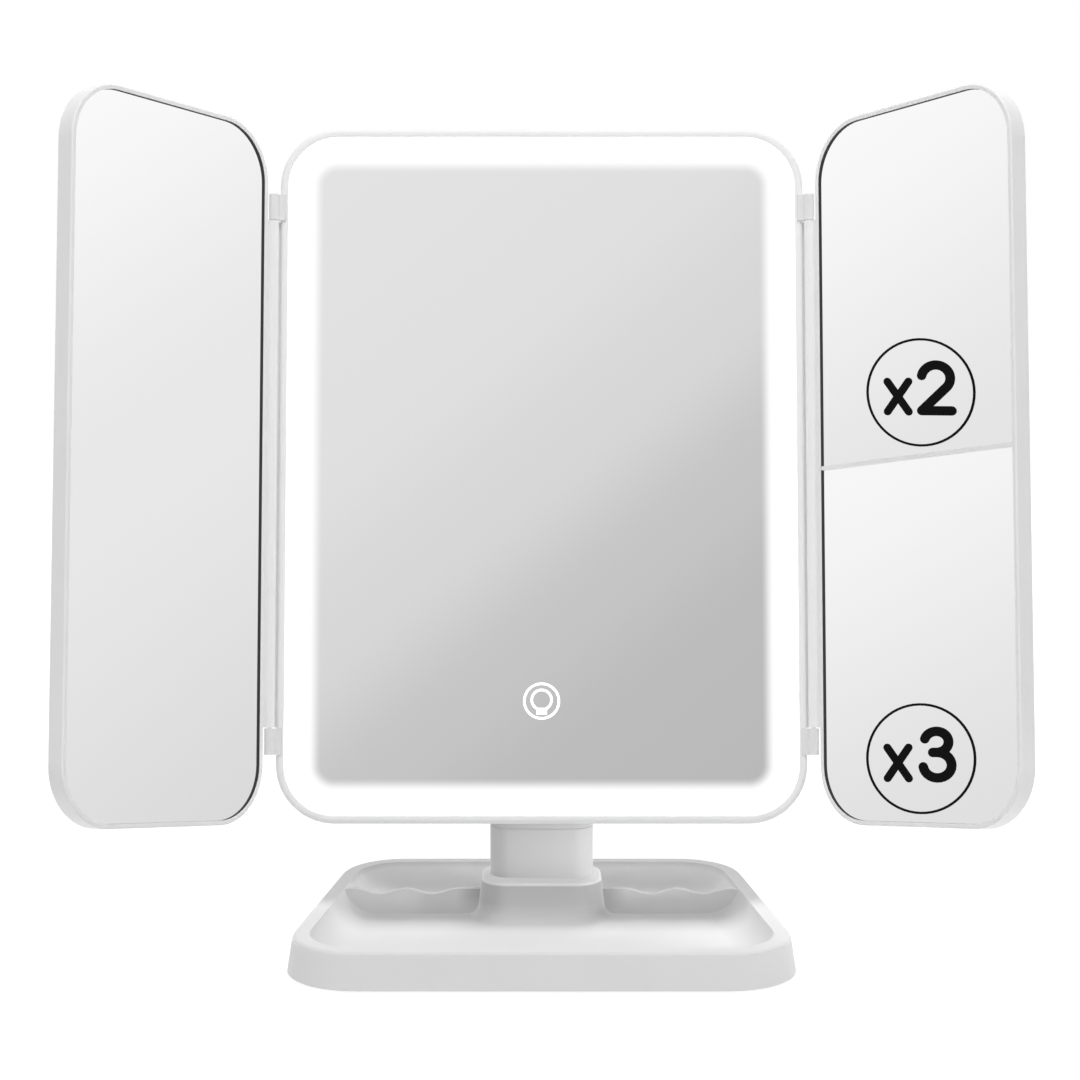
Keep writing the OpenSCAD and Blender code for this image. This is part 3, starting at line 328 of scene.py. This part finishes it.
def slanted_painted_reflection(made, x, height, spread_x, spread_h, lean, stops):
    """A painted reflection in the silver's colour along a slanted line: x counts lean times as much as
    height.
    """
    across = x / (2 * spread_x) + 0.5
    down = 0.5 - height / (2 * spread_h)
    along = (across * lean + down) / (1 + lean)
    ramp = made.node("ShaderNodeValToRGB",
                     {"stops": [(share, grey(shown_as(tone))) for share, tone in stops]},
                     {"Fac": along})
    made.feed("Base Color", ramp)
    return ramp


def mirror_glass(name, centre, spread, lean, stops, **sockets):
    """Silvered glass with a painted reflection, whose tone falls off along a slanted line round centre,
    in head millimetres.
    """
    made = Finish(name, Metallic=1.0, Roughness=0.015, **sockets)
    # the Mapping node undoes the head's lean, and leaves millimetres from the glass's middle
    middle = head_to_world @ Vector((centre[0], 0, centre[1]))
    upright = Matrix.Rotation(TILT, 3, "X") @ middle
    local = made.place({"Rotation": (TILT, 0, 0), "Location": -upright})
    x, _, height = made.axes(local)
    # the painted reflection's tone
    tone = slanted_painted_reflection(made, x / MM, height / MM, spread[0], spread[1], lean, stops)
    finishes[name] = made.material
    return made, x / MM, height / MM, tone


# silver is the colour of the centre glass's painted reflection
centre_glass, glass_x, glass_h, silver = mirror_glass(
    "centre_silver", (0, 120), (GLASS_HALF_W, GLASS_HALF_H), 0.6,
    [(0.0, 227), (0.3, 224), (0.5, 215), (0.66, 197), (0.8, 188), (1.0, 185)])
past_x = (abs(glass_x) - (GLASS_HALF_W - GLASS_R)).at_least(0.0)
past_h = (abs(glass_h) - (GLASS_HALF_H - GLASS_R)).at_least(0.0)
inside = GLASS_R - (past_x ** 2.0 + past_h ** 2.0) ** 0.5
glow = (1.0 - inside / GLOW_W).clamped().eased()
# the painted glow fills up only what the painted reflection leaves dark, so that it fades out evenly
# instead of clipping
centre_glass.feed("Emission Color", centre_glass.between(glow * (1.02 - silver), grey(0.0), WHITE))
centre_glass.feed("Emission Strength", 1.0)

# the side mirrors get painted reflections too
mirror_glass("left_silver", (-120, 120), (40, 118), 0.35, [(0.0, 250), (0.45, 232), (1.0, 217)])
mirror_glass("right_upper_silver", (120, 178), (40, 60), 0.35, [(0.0, 249), (1.0, 228)])
mirror_glass("right_lower_silver", (120, 60), (40, 60), 0.35, [(0.0, 247), (1.0, 223)])
print("mirror finishes:", [name for name in finishes if "silver" in name])

# %% [markdown]
# ## The light ring and the printed signs
#
# The ring is milky acrylic with chips behind it. On the photograph it is simply white, so it gives off
# light at a strength just over 1. The touch sign is a clear line in the silver that the same light
# shines through. The magnification signs are screen-printed in black, a satin ink.

# %% Light and prints
ring = Finish("ring_light", Base_Color=grey(0.9), Emission_Strength=1.15)
haze = ring.noise(1800.0, detail=3.0)
ring.feed("Roughness", haze * 0.15 + 0.35)
ring.feed("Emission Color", ring.between(haze, grey(0.97), WHITE))
ring.bump(haze, 0.3, 0.02 * MM)
finishes["ring_light"] = ring.material

sign_light = Finish("sign_light", Base_Color=grey(0.9), Roughness=0.3, Emission_Color=WHITE,
                    Emission_Strength=1.0)
finishes["sign_light"] = sign_light.material

ink = Finish("black_ink", Specular_IOR_Level=0.03)
ink_cover = ink.noise(1500.0, detail=2.0)
ink.feed("Base Color", ink.between(ink_cover, grey(0.002), grey(0.006)))
ink.feed("Roughness", ink_cover * 0.1 + 0.3)
finishes["black_ink"] = ink.material
print("prints:", "sign_light, black_ink")

# %% [markdown]
# ## Metal, rubber, foam and electronics
#
# Most of these pieces are seen only when something is opened or turned over, but each has the surface of
# the real thing: nickel-plated steel with fine drawing marks, dull rubber, open-celled foam tape, green
# solder mask, and cells in a plain printed sleeve.

# %% Small-part finishes


def plated_steel(name, tone, roughness):
    """Nickel-plated steel with drawing marks along X."""
    made = Finish(name, Metallic=1.0)
    drawn = made.place({"Scale": (0.04, 1.0, 1.0)})
    marks = made.noise(5200.0, detail=4.0, vector=drawn)
    made.feed("Base Color", made.between(marks, (*(Vector(tone) * 0.9), 1), (*tone, 1)))
    made.feed("Roughness", marks * 0.18 + roughness)
    made.bump(marks, 0.25, 0.01 * MM)
    finishes[name] = made.material


def rubbery(name, tone, roughness, cells, depth):
    """Rubber or foam: a dull ground with cells of a given size."""
    made = Finish(name)
    pores = made.noise(cells, detail=5.0, roughness=0.65)
    made.feed("Base Color", made.between(pores, grey(tone * 0.75), grey(tone * 1.25)))
    made.feed("Roughness", pores * 0.15 + roughness)
    made.bump(pores, 0.6, depth)
    finishes[name] = made.material


def printed_sleeve(name, dark, band, band_from):
    """A cell's shrink sleeve: dark, with a metallic band beyond a distance from the middle."""
    made = Finish(name, Coat_Weight=0.5)
    x, _, _ = made.axes(made.place())
    on_band = ((abs(x) / MM - band_from) * 20.0).clamped()
    film = made.noise(700.0, detail=2.0)
    made.feed("Base Color", made.between(on_band, dark, band))
    made.feed("Metallic", on_band * 0.8)
    made.feed("Roughness", film * 0.1 + 0.28)
    made.bump(film, 0.2, 0.02 * MM)
    finishes[name] = made.material


plated_steel("nickel", (0.72, 0.71, 0.69), 0.22)
plated_steel("zinc", (0.62, 0.62, 0.62), 0.36)
plated_steel("gold", (0.95, 0.68, 0.28), 0.2)
printed_sleeve("cell_sleeve", grey(0.03), (0.55, 0.30, 0.16, 1), 40.0)
satin_plastic("mark_grey", 0.22, 0.4)
rubbery("foot_rubber", 0.028, 0.72, 2400.0, 0.05 * MM)
rubbery("gasket_rubber", 0.012, 0.6, 3000.0, 0.03 * MM)
rubbery("friction_fibre", 0.07, 0.8, 1800.0, 0.06 * MM)
rubbery("foam_tape", 0.11, 0.92, 1200.0, 0.2 * MM)

mask = Finish("solder_mask", Coat_Weight=0.4, Roughness=0.35)
weave = mask.node("ShaderNodeTexBrick", None,
                  {"Vector": mask.place(), "Scale": 400.0, "Mortar Size": 0.03}, out=1)
mask.feed("Base Color", mask.between(weave, (0.012, 0.085, 0.035, 1), (0.03, 0.16, 0.07, 1)))
mask.bump(weave, 0.3, 0.02 * MM)
finishes["solder_mask"] = mask.material

satin_plastic("light_board", 0.85, 0.4)
chips = Finish("phosphor", Base_Color=(0.9, 0.72, 0.2, 1), Roughness=0.4,
               Emission_Color=(1, 0.95, 0.85, 1), Emission_Strength=2.0)
finishes["phosphor"] = chips.material
satin_plastic("black_nylon", 0.012, 0.42, grain=1600.0, grain_depth=0.03 * MM)
print("finishes:", len(finishes))

# %% [markdown]
# ## Giving the solids their finishes
#
# One table says which finish each solid has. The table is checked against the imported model, so that no
# node is left out.

# %% Finish table
dressed = {
    "frame_white": ["front_bezel", "left_wing_frame", "right_wing_frame", "right_wing_bar",
                    "mirror_carrier"],
    "hinge_white_painted_shade": ["hinge_blocks_left", "hinge_blocks_right"],
    "base_white": ["base_shell"],
    "neck_white": ["neck_front_shell", "neck_rear_shell", "pivot_head"],
    "back_white": ["rear_housing", "battery_door", "left_wing_back", "right_wing_back"],
    "cover_white": ["bottom_cover"],
    "ring_light": ["light_diffuser"],
    "centre_silver": ["centre_mirror"],
    "left_silver": ["left_wing_mirror"],
    "right_upper_silver": ["right_upper_mirror"],
    "right_lower_silver": ["right_lower_mirror"],
    "sign_light": ["touch_sign"],
    "black_ink": ["right_wing_signs"],
    "nickel": ["hinge_pins", "pivot_shaft", "spring_washers", "pivot_nut", "battery_contacts",
               "usb_socket", "housing_screws", "base_screws", "neck_screws"],
    "zinc": ["ballast_plate"],
    "foot_rubber": ["rubber_feet"],
    "gasket_rubber": ["left_wing_gasket", "right_wing_gasket"],
    "friction_fibre": ["friction_washers"],
    "foam_tape": ["mirror_foam", "left_wing_foam", "right_wing_foam"],
    "solder_mask": ["control_board", "touch_sensor"],
    "light_board": ["led_strip"],
    "phosphor": ["led_chips"],
    "black_nylon": ["switch_body", "switch_slider"],
    "cell_sleeve": ["aa_cells"],
}
for finish_name, nodes in dressed.items():
    for node in nodes:
        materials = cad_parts[node].data.materials
        materials.clear()
        materials.append(finishes[finish_name])
left_out = set(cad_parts) - {node for nodes in dressed.values() for node in nodes}
print("solids without a finish:", left_out or "none")

# %% [markdown]
# ## Tools for new pieces
#
# A CAD solid gives the space that a screw or a spring takes, but not its detail. Each detailed piece is
# modelled once in a bmesh, in millimetres round its own middle, and then stamped out at each of its
# places. The places aren't typed in: they are measured on the CAD solid that the piece replaces, by
# splitting a copy of it into its loose parts.

# %% Places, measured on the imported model
STEPS = 32              # straight pieces in a full circle


def loose_parts(node, space):
    """The lowest and highest corner of each loose part of a CAD node, in a space's millimetres."""
    copy = bmesh.new()
    copy.from_mesh(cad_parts[node].data)
    bmesh.ops.transform(copy, matrix=space.inverted(), verts=copy.verts)
    bmesh.ops.remove_doubles(copy, verts=copy.verts, dist=0.001)
    boxes, seen = [], set()
    for start in copy.verts:
        if start in seen:
            continue
        part, waiting = {start}, [start]
        while waiting:
            vert = waiting.pop()
            new = {edge.other_vert(vert) for edge in vert.link_edges} - part
            part |= new
            waiting += new
        seen |= part
        boxes.append([Vector(pick(v.co[i] for v in part) for i in range(3)) for pick in (min, max)])
    copy.free()
    return boxes


def facing(space, x, y, z, turn, axis="X"):
    """A place in a space, where a piece's own Z is turned by some degrees about an axis."""
    return space @ Matrix.Translation((x, y, z)) @ Matrix.Rotation(math.radians(turn), 4, axis)


FACES_BACK, FACES_DOWN = -90, 180
screw_boxes = loose_parts("housing_screws", head_to_world)
print("housing screws at x, depth, height:",
      [[round(c, 1) for c in (low + high) / 2] for low, high in screw_boxes])

# %% Making one object of many copies


def stamped(name, shape, places, body, finish, slot, *instead_of, smooth=35.0):
    """One object from copies of a shape at its places; it rides on a body and may replace CAD nodes."""
    single = bpy.data.meshes.new(name + "_single")
    bmesh.ops.remove_doubles(shape, verts=shape.verts, dist=0.001)
    bmesh.ops.recalc_face_normals(shape, faces=shape.faces)
    shape.to_mesh(single)
    shape.free()
    whole = bmesh.new()
    for place in places:
        known = len(whole.verts)
        whole.from_mesh(single)
        whole.verts.ensure_lookup_table()
        bmesh.ops.transform(whole, matrix=place, verts=whole.verts[known:])
    for edge in whole.edges:
        edge.smooth = edge.calc_face_angle(0.0) < math.radians(smooth)
    for face in whole.faces:
        face.smooth = True
    mesh = bpy.data.meshes.new(name)
    whole.to_mesh(mesh)
    whole.free()
    bpy.data.meshes.remove(single)
    mesh.materials.append(finishes[finish])
    made = bpy.data.objects.new(name, mesh)
    bpy.context.scene.collection.objects.link(made)
    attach(made, body)
    if instead_of:
        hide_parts(*instead_of)
    print(f"{name}: {len(places)} of them, {len(mesh.polygons)} faces")
    return made


def rounded(shape, edges, radius, segments=3):
    """Bevels edges, with the settings that the editor uses."""
    bmesh.ops.bevel(shape, geom=edges, offset=radius, affect="EDGES", segments=segments, profile=0.5,
                    material=-1, clamp_overlap=True)


def verts_of(parts):
    return [part for part in parts if isinstance(part, bmesh.types.BMVert)]


def pushed(shape, faces, along, grown=1.0):
    """Extrudes faces along a vector, and scales their far end about its own middle."""
    made = bmesh.ops.extrude_face_region(shape, geom=faces)["geom"]
    bmesh.ops.delete(shape, geom=faces, context="FACES_ONLY")
    moved = verts_of(made)
    bmesh.ops.translate(shape, vec=along, verts=moved)
    middle = sum((v.co for v in moved), Vector()) / len(moved)
    bmesh.ops.scale(shape, vec=[grown] * 3, space=Matrix.Translation(-middle), verts=moved)
    return [part for part in made if isinstance(part, bmesh.types.BMFace)]


def turned(profile, steps=STEPS):
    """Turns a line of (radius, height) points about Z, as on a lathe."""
    shape = bmesh.new()
    line = [shape.verts.new((radius, 0, height)) for radius, height in profile]
    edges = [shape.edges.new(pair) for pair in zip(line, line[1:])]
    bmesh.ops.spin(shape, geom=line + edges, cent=(0, 0, 0), axis=(0, 0, 1), dvec=(0, 0, 0),
                   angle=2 * math.pi, steps=steps, use_merge=True, use_duplicate=False)
    return shape


def brick(low, high, round_edges=0.0):
    """A box between two corners, with rounded edges."""
    shape = bmesh.new()
    low, high = Vector(low), Vector(high)
    bmesh.ops.create_cube(shape, size=1.0)
    bmesh.ops.scale(shape, vec=high - low, verts=shape.verts)
    bmesh.ops.translate(shape, vec=(low + high) / 2, verts=shape.verts)
    if round_edges:
        rounded(shape, shape.edges[:], round_edges)
    return shape


def joined(*shapes):
    """Puts several shapes into the first."""
    for other in shapes[1:]:
        carried = bpy.data.meshes.new("carried")
        other.to_mesh(carried)
        other.free()
        shapes[0].from_mesh(carried)
        bpy.data.meshes.remove(carried)
    return shapes[0]


print("tools: stamped, rounded, pushed, turned, brick, joined")

# %% [markdown]
# ## Screws
#
# Self-tapping screws hold the shells. Each has a low round head with a cross recess. The head starts as
# a grid of five by five faces, whose outer corners are pulled out onto a circle. The middle five faces
# are the cross, and are pushed in with a slight taper. The rim gets a soft bevel.

# %% Screws
HEAD_R, SHANK_R = 2.2, 1.2
HEAD_ROUND, TIP_SHARE, TIP_GROWN = 0.4, 0.2, 0.15          # shares of the head's height and the shank
ARM_NARROWED, RECESS_DEEP, RECESS_TAPER = 0.75, 0.6, 0.8   # the cross


def cross_screw(head_t, long):
    """A screw whose head faces up at z = 0, and whose shank points down."""
    shape = bmesh.new()
    bmesh.ops.create_grid(shape, x_segments=5, y_segments=5, size=HEAD_R)
    for vert in shape.verts:
        if vert.is_boundary:
            vert.co = vert.co.normalized() * HEAD_R
        else:
            vert.co = [c * ARM_NARROWED if abs(c) < 0.3 * HEAD_R else c for c in vert.co]
    rim = [edge for edge in shape.edges if edge.is_boundary]
    middles = {face: face.calc_center_median() for face in shape.faces}
    arms = [face for face, middle in middles.items()
            if middle.length < 0.5 * HEAD_R and min(abs(middle.x), abs(middle.y)) < 0.1 * HEAD_R]
    side = bmesh.ops.extrude_edge_only(shape, edges=rim)["geom"]
    lower = [part for part in side if isinstance(part, bmesh.types.BMEdge) and part.is_boundary]
    bmesh.ops.translate(shape, vec=(0, 0, -head_t), verts=verts_of(side))
    under = bmesh.ops.contextual_create(shape, geom=lower)["faces"]
    bmesh.ops.inset_region(shape, faces=under, thickness=HEAD_R - SHANK_R)
    shank = pushed(shape, under, (0, 0, -(1 - TIP_SHARE) * long))
    pushed(shape, shank, (0, 0, -TIP_SHARE * long), grown=TIP_GROWN)
    pushed(shape, arms, (0, 0, -RECESS_DEEP * head_t), grown=RECESS_TAPER)
    top_rim = [edge for edge in shape.edges
               if all(v.co.z > -0.01 and v.co.length > 0.95 * HEAD_R for v in edge.verts)]
    rounded(shape, top_rim, HEAD_ROUND * head_t)
    return shape


HEAD_T, COVER_HEAD_T = 0.9, 0.6         # heads on the shells, and the flatter ones in the bottom cover

stamped("housing_screw_heads",
        cross_screw(HEAD_T, (screw_boxes[0][1] - screw_boxes[0][0]).y - HEAD_T),
        [facing(head_to_world, *((low.x + high.x) / 2, high.y, (low.z + high.z) / 2), FACES_BACK)
         for low, high in screw_boxes],
        "head", "nickel", "steel", "housing_screws")

cover_boxes = loose_parts("base_screws", to_millimetres)
stamped("base_screw_heads",
        cross_screw(COVER_HEAD_T, (cover_boxes[0][1] - cover_boxes[0][0]).z - COVER_HEAD_T),
        [facing(to_millimetres, *((low.x + high.x) / 2, (low.y + high.y) / 2, low.z), FACES_DOWN)
         for low, high in cover_boxes],
        "base", "nickel", "steel", "base_screws")

neck_boxes = loose_parts("neck_screws", to_millimetres)
up_screws = [pair for pair in neck_boxes if (pair[1] - pair[0]).z > (pair[1] - pair[0]).y]
through_screws = [pair for pair in neck_boxes if pair not in up_screws]
neck_places = (
    [facing(to_millimetres, (low.x + high.x) / 2, (low.y + high.y) / 2, low.z, FACES_DOWN)
     for low, high in up_screws]
    + [facing(to_millimetres, (low.x + high.x) / 2, high.y, (low.z + high.z) / 2, FACES_BACK)
       for low, high in through_screws])
stamped("neck_screw_heads",
        cross_screw(HEAD_T, (up_screws[0][1] - up_screws[0][0]).z - HEAD_T),
        neck_places, "base", "nickel", "steel", "neck_screws")

# %% [markdown]
# ## Rubber feet
#
# Each foot is a soft round pad with a rounded rim and a shallow hollow, so that it grips the table with
# a ring. It is turned on a lathe from the line of half its section.

# %% Rubber feet
foot_boxes = loose_parts("rubber_feet", to_millimetres)
foot_r = (foot_boxes[0][1] - foot_boxes[0][0]).x / 2
foot_top = foot_boxes[0][1].z
FOOT_ROUND, FOOT_RING, FOOT_HOLLOW = 0.5, 1.6, 0.25
foot = turned([(0, foot_top), (foot_r, foot_top), (foot_r, 0), (foot_r - FOOT_RING, 0),
               (foot_r - FOOT_RING - FOOT_HOLLOW, FOOT_HOLLOW), (0, FOOT_HOLLOW)])
rounded(foot, [edge for edge in foot.edges
               if all(v.co.z < 0.001 and v.co.length > foot_r - 0.01 for v in edge.verts)], FOOT_ROUND)
stamped("soft_feet", foot,
        [to_millimetres @ Matrix.Translation(((low.x + high.x) / 2, (low.y + high.y) / 2, 0))
         for low, high in foot_boxes],
        "base", "foot_rubber", "rubber", "rubber_feet")

# %% [markdown]
# ## Cells, springs and contact plates
#
# The four AA cells lie in two rows behind the battery door. A cell is a steel can in a printed sleeve
# that folds over both shoulders, so it is two pieces here: the sleeve, and the bright ends with the
# stepped positive cap. The negative ends press on coil springs, which are swept by spinning a small
# circle round an axis while it climbs. The caps touch flat plates with rounded corners.

# %% Cells
cell_boxes = loose_parts("aa_cells", head_to_world)
CELL_R, CAP_R, CAP_UP, END_R = 7.1, 2.7, 1.2, 5.4
SLEEVE_ROUND, SLEEVE_T = 0.8, 0.15
can_long = (cell_boxes[0][1] - cell_boxes[0][0]).x - CAP_UP


def along_cell(low, high):
    """A place on the head whose Z runs along a cell, from its flat end to its cap."""
    outwards = 1 if low.x + high.x > 0 else -1
    flat_end = low.x if outwards > 0 else high.x
    return facing(head_to_world, flat_end, (low.y + high.y) / 2, (low.z + high.z) / 2, 90 * outwards, "Y")


cell_places = [along_cell(low, high) for low, high in cell_boxes]
sleeve = turned([(END_R, SLEEVE_T), (END_R, 0), (CELL_R, 0), (CELL_R, can_long), (END_R, can_long),
                 (END_R, can_long - SLEEVE_T)])
rounded(sleeve, [edge for edge in sleeve.edges
                 if all(abs(v.co.xy.length - CELL_R) < 0.01 for v in edge.verts)
                 and edge.verts[0].co.z == edge.verts[1].co.z], SLEEVE_ROUND)
stamped("cell_sleeves", sleeve, cell_places, "head", "cell_sleeve", "cell_jacket", "aa_cells")

CAP_STEP = 0.35
ends = joined(
    turned([(0, SLEEVE_T), (END_R + 0.1, SLEEVE_T), (END_R + 0.1, 2 * SLEEVE_T), (0, 2 * SLEEVE_T)]),
    turned([(0, can_long - 3 * SLEEVE_T), (END_R + 0.1, can_long - 3 * SLEEVE_T),
            (END_R + 0.1, can_long - SLEEVE_T), (CAP_R + CAP_STEP, can_long - SLEEVE_T),
            (CAP_R, can_long + CAP_STEP), (CAP_R, can_long + CAP_UP - CAP_STEP),
            (CAP_R - CAP_STEP, can_long + CAP_UP), (0, can_long + CAP_UP)]))
stamped("cell_ends", ends, cell_places, "head", "nickel", "steel")

# %% Springs and contact plates
contact_boxes = loose_parts("battery_contacts", head_to_world)
print("contacts in mm:", sorted({tuple(round(c, 1) for c in high - low) for low, high in contact_boxes}))
WIRE_R, COIL_R, COIL_TURNS, COIL_TAPER = 0.16, 3.4, 3, 0.35
SPRING_LONG, CONTACT_T, CONTACT_HALF, CONTACT_ROUND = 1.2, 0.4, 5.0, 1.2

spring = bmesh.new()
wire_place = Matrix.Translation((COIL_R, 0, WIRE_R)) @ Matrix.Rotation(math.pi / 2, 4, "X")
wire = bmesh.ops.create_circle(spring, segments=8, radius=WIRE_R, matrix=wire_place)["verts"]
climb = (SPRING_LONG - 2 * WIRE_R) / (COIL_TURNS * STEPS)
bmesh.ops.spin(spring, geom=wire + list({edge for vert in wire for edge in vert.link_edges}),
               cent=(0, 0, 0), axis=(0, 0, 1), dvec=(0, 0, climb), angle=COIL_TURNS * 2 * math.pi,
               steps=COIL_TURNS * STEPS, use_duplicate=False)
for vert in spring.verts:               # the coil narrows towards the cell
    vert.co.xy *= 1 - COIL_TAPER * vert.co.z / SPRING_LONG
bmesh.ops.holes_fill(spring, edges=[edge for edge in spring.edges if edge.is_boundary], sides=0)
bmesh.ops.translate(spring, vec=(0, 0, -SPRING_LONG), verts=spring.verts)
stamped("coil_springs", spring, cell_places, "head", "nickel", "steel")


def contact_plate(z):
    """A square plate with rounded corners whose lower face is at z."""
    plate = brick((-CONTACT_HALF, -CONTACT_HALF, z), (CONTACT_HALF, CONTACT_HALF, z + CONTACT_T))
    rounded(plate, [edge for edge in plate.edges if abs(edge.verts[0].co.z - edge.verts[1].co.z) > 0.01],
            CONTACT_ROUND)
    return plate


PLAY = 0.1              # between a cap and its plate
plates = joined(contact_plate(-SPRING_LONG - CONTACT_T), contact_plate(can_long + CAP_UP + PLAY))
stamped("contact_plates", plates, cell_places, "head", "nickel", "steel", "battery_contacts")

# %% [markdown]
# ## The power inlet and the switch's marks
#
# Inside the inlet's sleeve stands a thin tongue with gold contacts on both faces. Beside the slide
# switch are the usual signs for off and on, a ring and a bar, printed in grey.

# %% Inlet tongue
inlet_low, inlet_high = loose_parts("usb_socket", head_to_world)[0]
inlet = facing(head_to_world, (inlet_low.x + inlet_high.x) / 2, inlet_high.y,
               (inlet_low.z + inlet_high.z) / 2, FACES_BACK)
TONGUE_HALF, TONGUE_DEEP, TONGUE_BACK = (3.3, 0.35), 6.2, 1.4
stamped("inlet_tongue",
        brick((-TONGUE_HALF[0], -TONGUE_HALF[1], -TONGUE_DEEP), (*TONGUE_HALF, -TONGUE_BACK), 0.15),
        [inlet], "head", "black_nylon", "switch_black")
CONTACTS, CONTACT_PITCH, CONTACT_SHOWS = 8, 0.7, 0.03
contact = brick((-0.14, -TONGUE_HALF[1] - CONTACT_SHOWS, -TONGUE_DEEP + 0.3),
                (0.14, TONGUE_HALF[1] + CONTACT_SHOWS, -TONGUE_BACK - 0.5))
contact_xs = [(i - (CONTACTS - 1) / 2) * CONTACT_PITCH for i in range(CONTACTS)]
stamped("inlet_contacts", contact, [inlet @ Matrix.Translation((x, 0, 0)) for x in contact_xs],
        "head", "gold", "steel")

# %% Off and on signs
switch_low, switch_high = loose_parts("switch_body", head_to_world)[0]
back_wall = loose_parts("rear_housing", head_to_world)[0][1].y
SIGN_OUT, SIGN_HALF, SIGN_LINE, SIGN_UP = 7.0, 1.2, 0.36, 0.1


def beside_switch(out):
    """A place on the back wall, out from the switch's middle."""
    return facing(head_to_world, (switch_low.x + switch_high.x) / 2 + out, back_wall,
                  (switch_low.z + switch_high.z) / 2, FACES_BACK)


off_sign = turned([(SIGN_HALF - SIGN_LINE, 0), (SIGN_HALF, 0), (SIGN_HALF, SIGN_UP),
                   (SIGN_HALF - SIGN_LINE, SIGN_UP), (SIGN_HALF - SIGN_LINE, 0)])
stamped("off_sign", off_sign, [beside_switch(-SIGN_OUT)], "head", "mark_grey", "sign_black")
stamped("on_sign", brick((-SIGN_LINE / 2, -SIGN_HALF, 0), (SIGN_LINE / 2, SIGN_HALF, SIGN_UP), 0.03),
        [beside_switch(SIGN_OUT)], "head", "mark_grey", "sign_black")

# %% [markdown]
# ## What the mirrors may show
#
# The side mirrors are turned towards the middle, so they would really show the light ring and each other.
# The photograph has clean glass there, so the pieces are kept out of reflections, and the mirrors show
# only the bright surround.

# %% Reflections
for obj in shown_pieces():
    obj.visible_glossy = False

# %% [markdown]
# ## Studio
#
# A pale floor and a white surround. The camera, mirrors and clear things see pure white, but what lights
# the object is a plain grey ambience, which Light Path's ray types tell apart. The ambience is strong in
# front and behind, weaker from the left, and faint from the right, because the right wing's outer side
# is grey in the photograph. A direction's share is the square of its part along an axis, because the
# squares of a direction's three parts add up to one. Soft lamps add light from above, from behind, and
# low from the right onto the neck.

# %% Surround
FROM_FRONT, FROM_BACK, FROM_LEFT, FROM_RIGHT = 1.03, 1.0, 0.5, 0.2

world = bpy.data.worlds.new("surround")
bpy.context.scene.world = world
studio = Nodes(world)
across, along, _ = studio.axes(studio.node("ShaderNodeTexCoord", out="Generated"))
shares = [(along.at_most(0.0), FROM_FRONT), (along.at_least(0.0), FROM_BACK),
          (across.at_most(0.0), FROM_LEFT), (across.at_least(0.0), FROM_RIGHT)]
ambience = sum(part * part * strength for part, strength in shares)
seen = studio.seen_directly()
studio.node("ShaderNodeOutputWorld", None, {"Surface": studio.node(
    "ShaderNodeBackground", None, {"Color": WHITE, "Strength": seen + (1.0 - seen) * ambience})})
print("ambience from the front, back, left and right:", FROM_FRONT, FROM_BACK, FROM_LEFT, FROM_RIGHT)

# %% Floor
FLOOR_SHARE = 0.72       # how much of the floor's look is plain white; the rest takes shadows
FLOOR_GLOW = 1.28       # over white, to make up for the darker share where the floor meets the surround
FLOOR_HALF, PAPER_TONE = 4.0, 0.88

floor_mesh = bpy.data.meshes.new("floor")
shape = bmesh.new()
bmesh.ops.create_grid(shape, x_segments=1, y_segments=1, size=FLOOR_HALF)
shape.to_mesh(floor_mesh)
shape.free()
floor = bpy.data.objects.new("floor", floor_mesh)
bpy.context.scene.collection.objects.link(floor)
floor_paint = bpy.data.materials.new("pale_floor")
paper = Nodes(floor_paint)
paper.node("ShaderNodeOutputMaterial", None, {"Surface": paper.node("ShaderNodeMixShader", None, {
    0: paper.seen_directly() * FLOOR_SHARE,
    1: paper.node("ShaderNodeBsdfDiffuse", None, {"Color": grey(PAPER_TONE)}),
    2: paper.node("ShaderNodeEmission", None, {"Color": WHITE, "Strength": FLOOR_GLOW})})})
floor_mesh.materials.append(floor_paint)
floor.visible_glossy = False            # so that the side mirrors show no horizon
print("the floor takes", round(100 * (1 - FLOOR_SHARE)), "percent of the shadow")

# %% Lamps


def lamp(name, kind, place, target, watts, **settings):
    """A lamp that faces a target and isn't seen in reflections."""
    data = bpy.data.lights.new(name, kind)
    data.energy = watts
    for setting, value in settings.items():
        setattr(data, setting, value)
    made = bpy.data.objects.new(name, data)
    made.location = place
    made.rotation_euler = (Vector(target) - Vector(place)).to_track_quat("-Z", "Y").to_euler()
    made.visible_glossy = False
    bpy.context.scene.collection.objects.link(made)


lamp("overhead", "AREA", (0.1, -0.35, 1.6), (0, 0, 0.1), 15.5, shape="SQUARE", size=0.6)
lamp("behind", "AREA", (0.35, 0.9, 0.9), (0, 0.03, 0.02), 4.8, shape="SQUARE", size=0.5)
lamp("low right", "SPOT", (0.7, -0.25, 0.08), (0, 0.02, 0.024), 9.5,
     spot_size=math.radians(6), spot_blend=0.6, shadow_soft_size=0.04)

bpy.context.scene.view_settings.view_transform = "Standard"
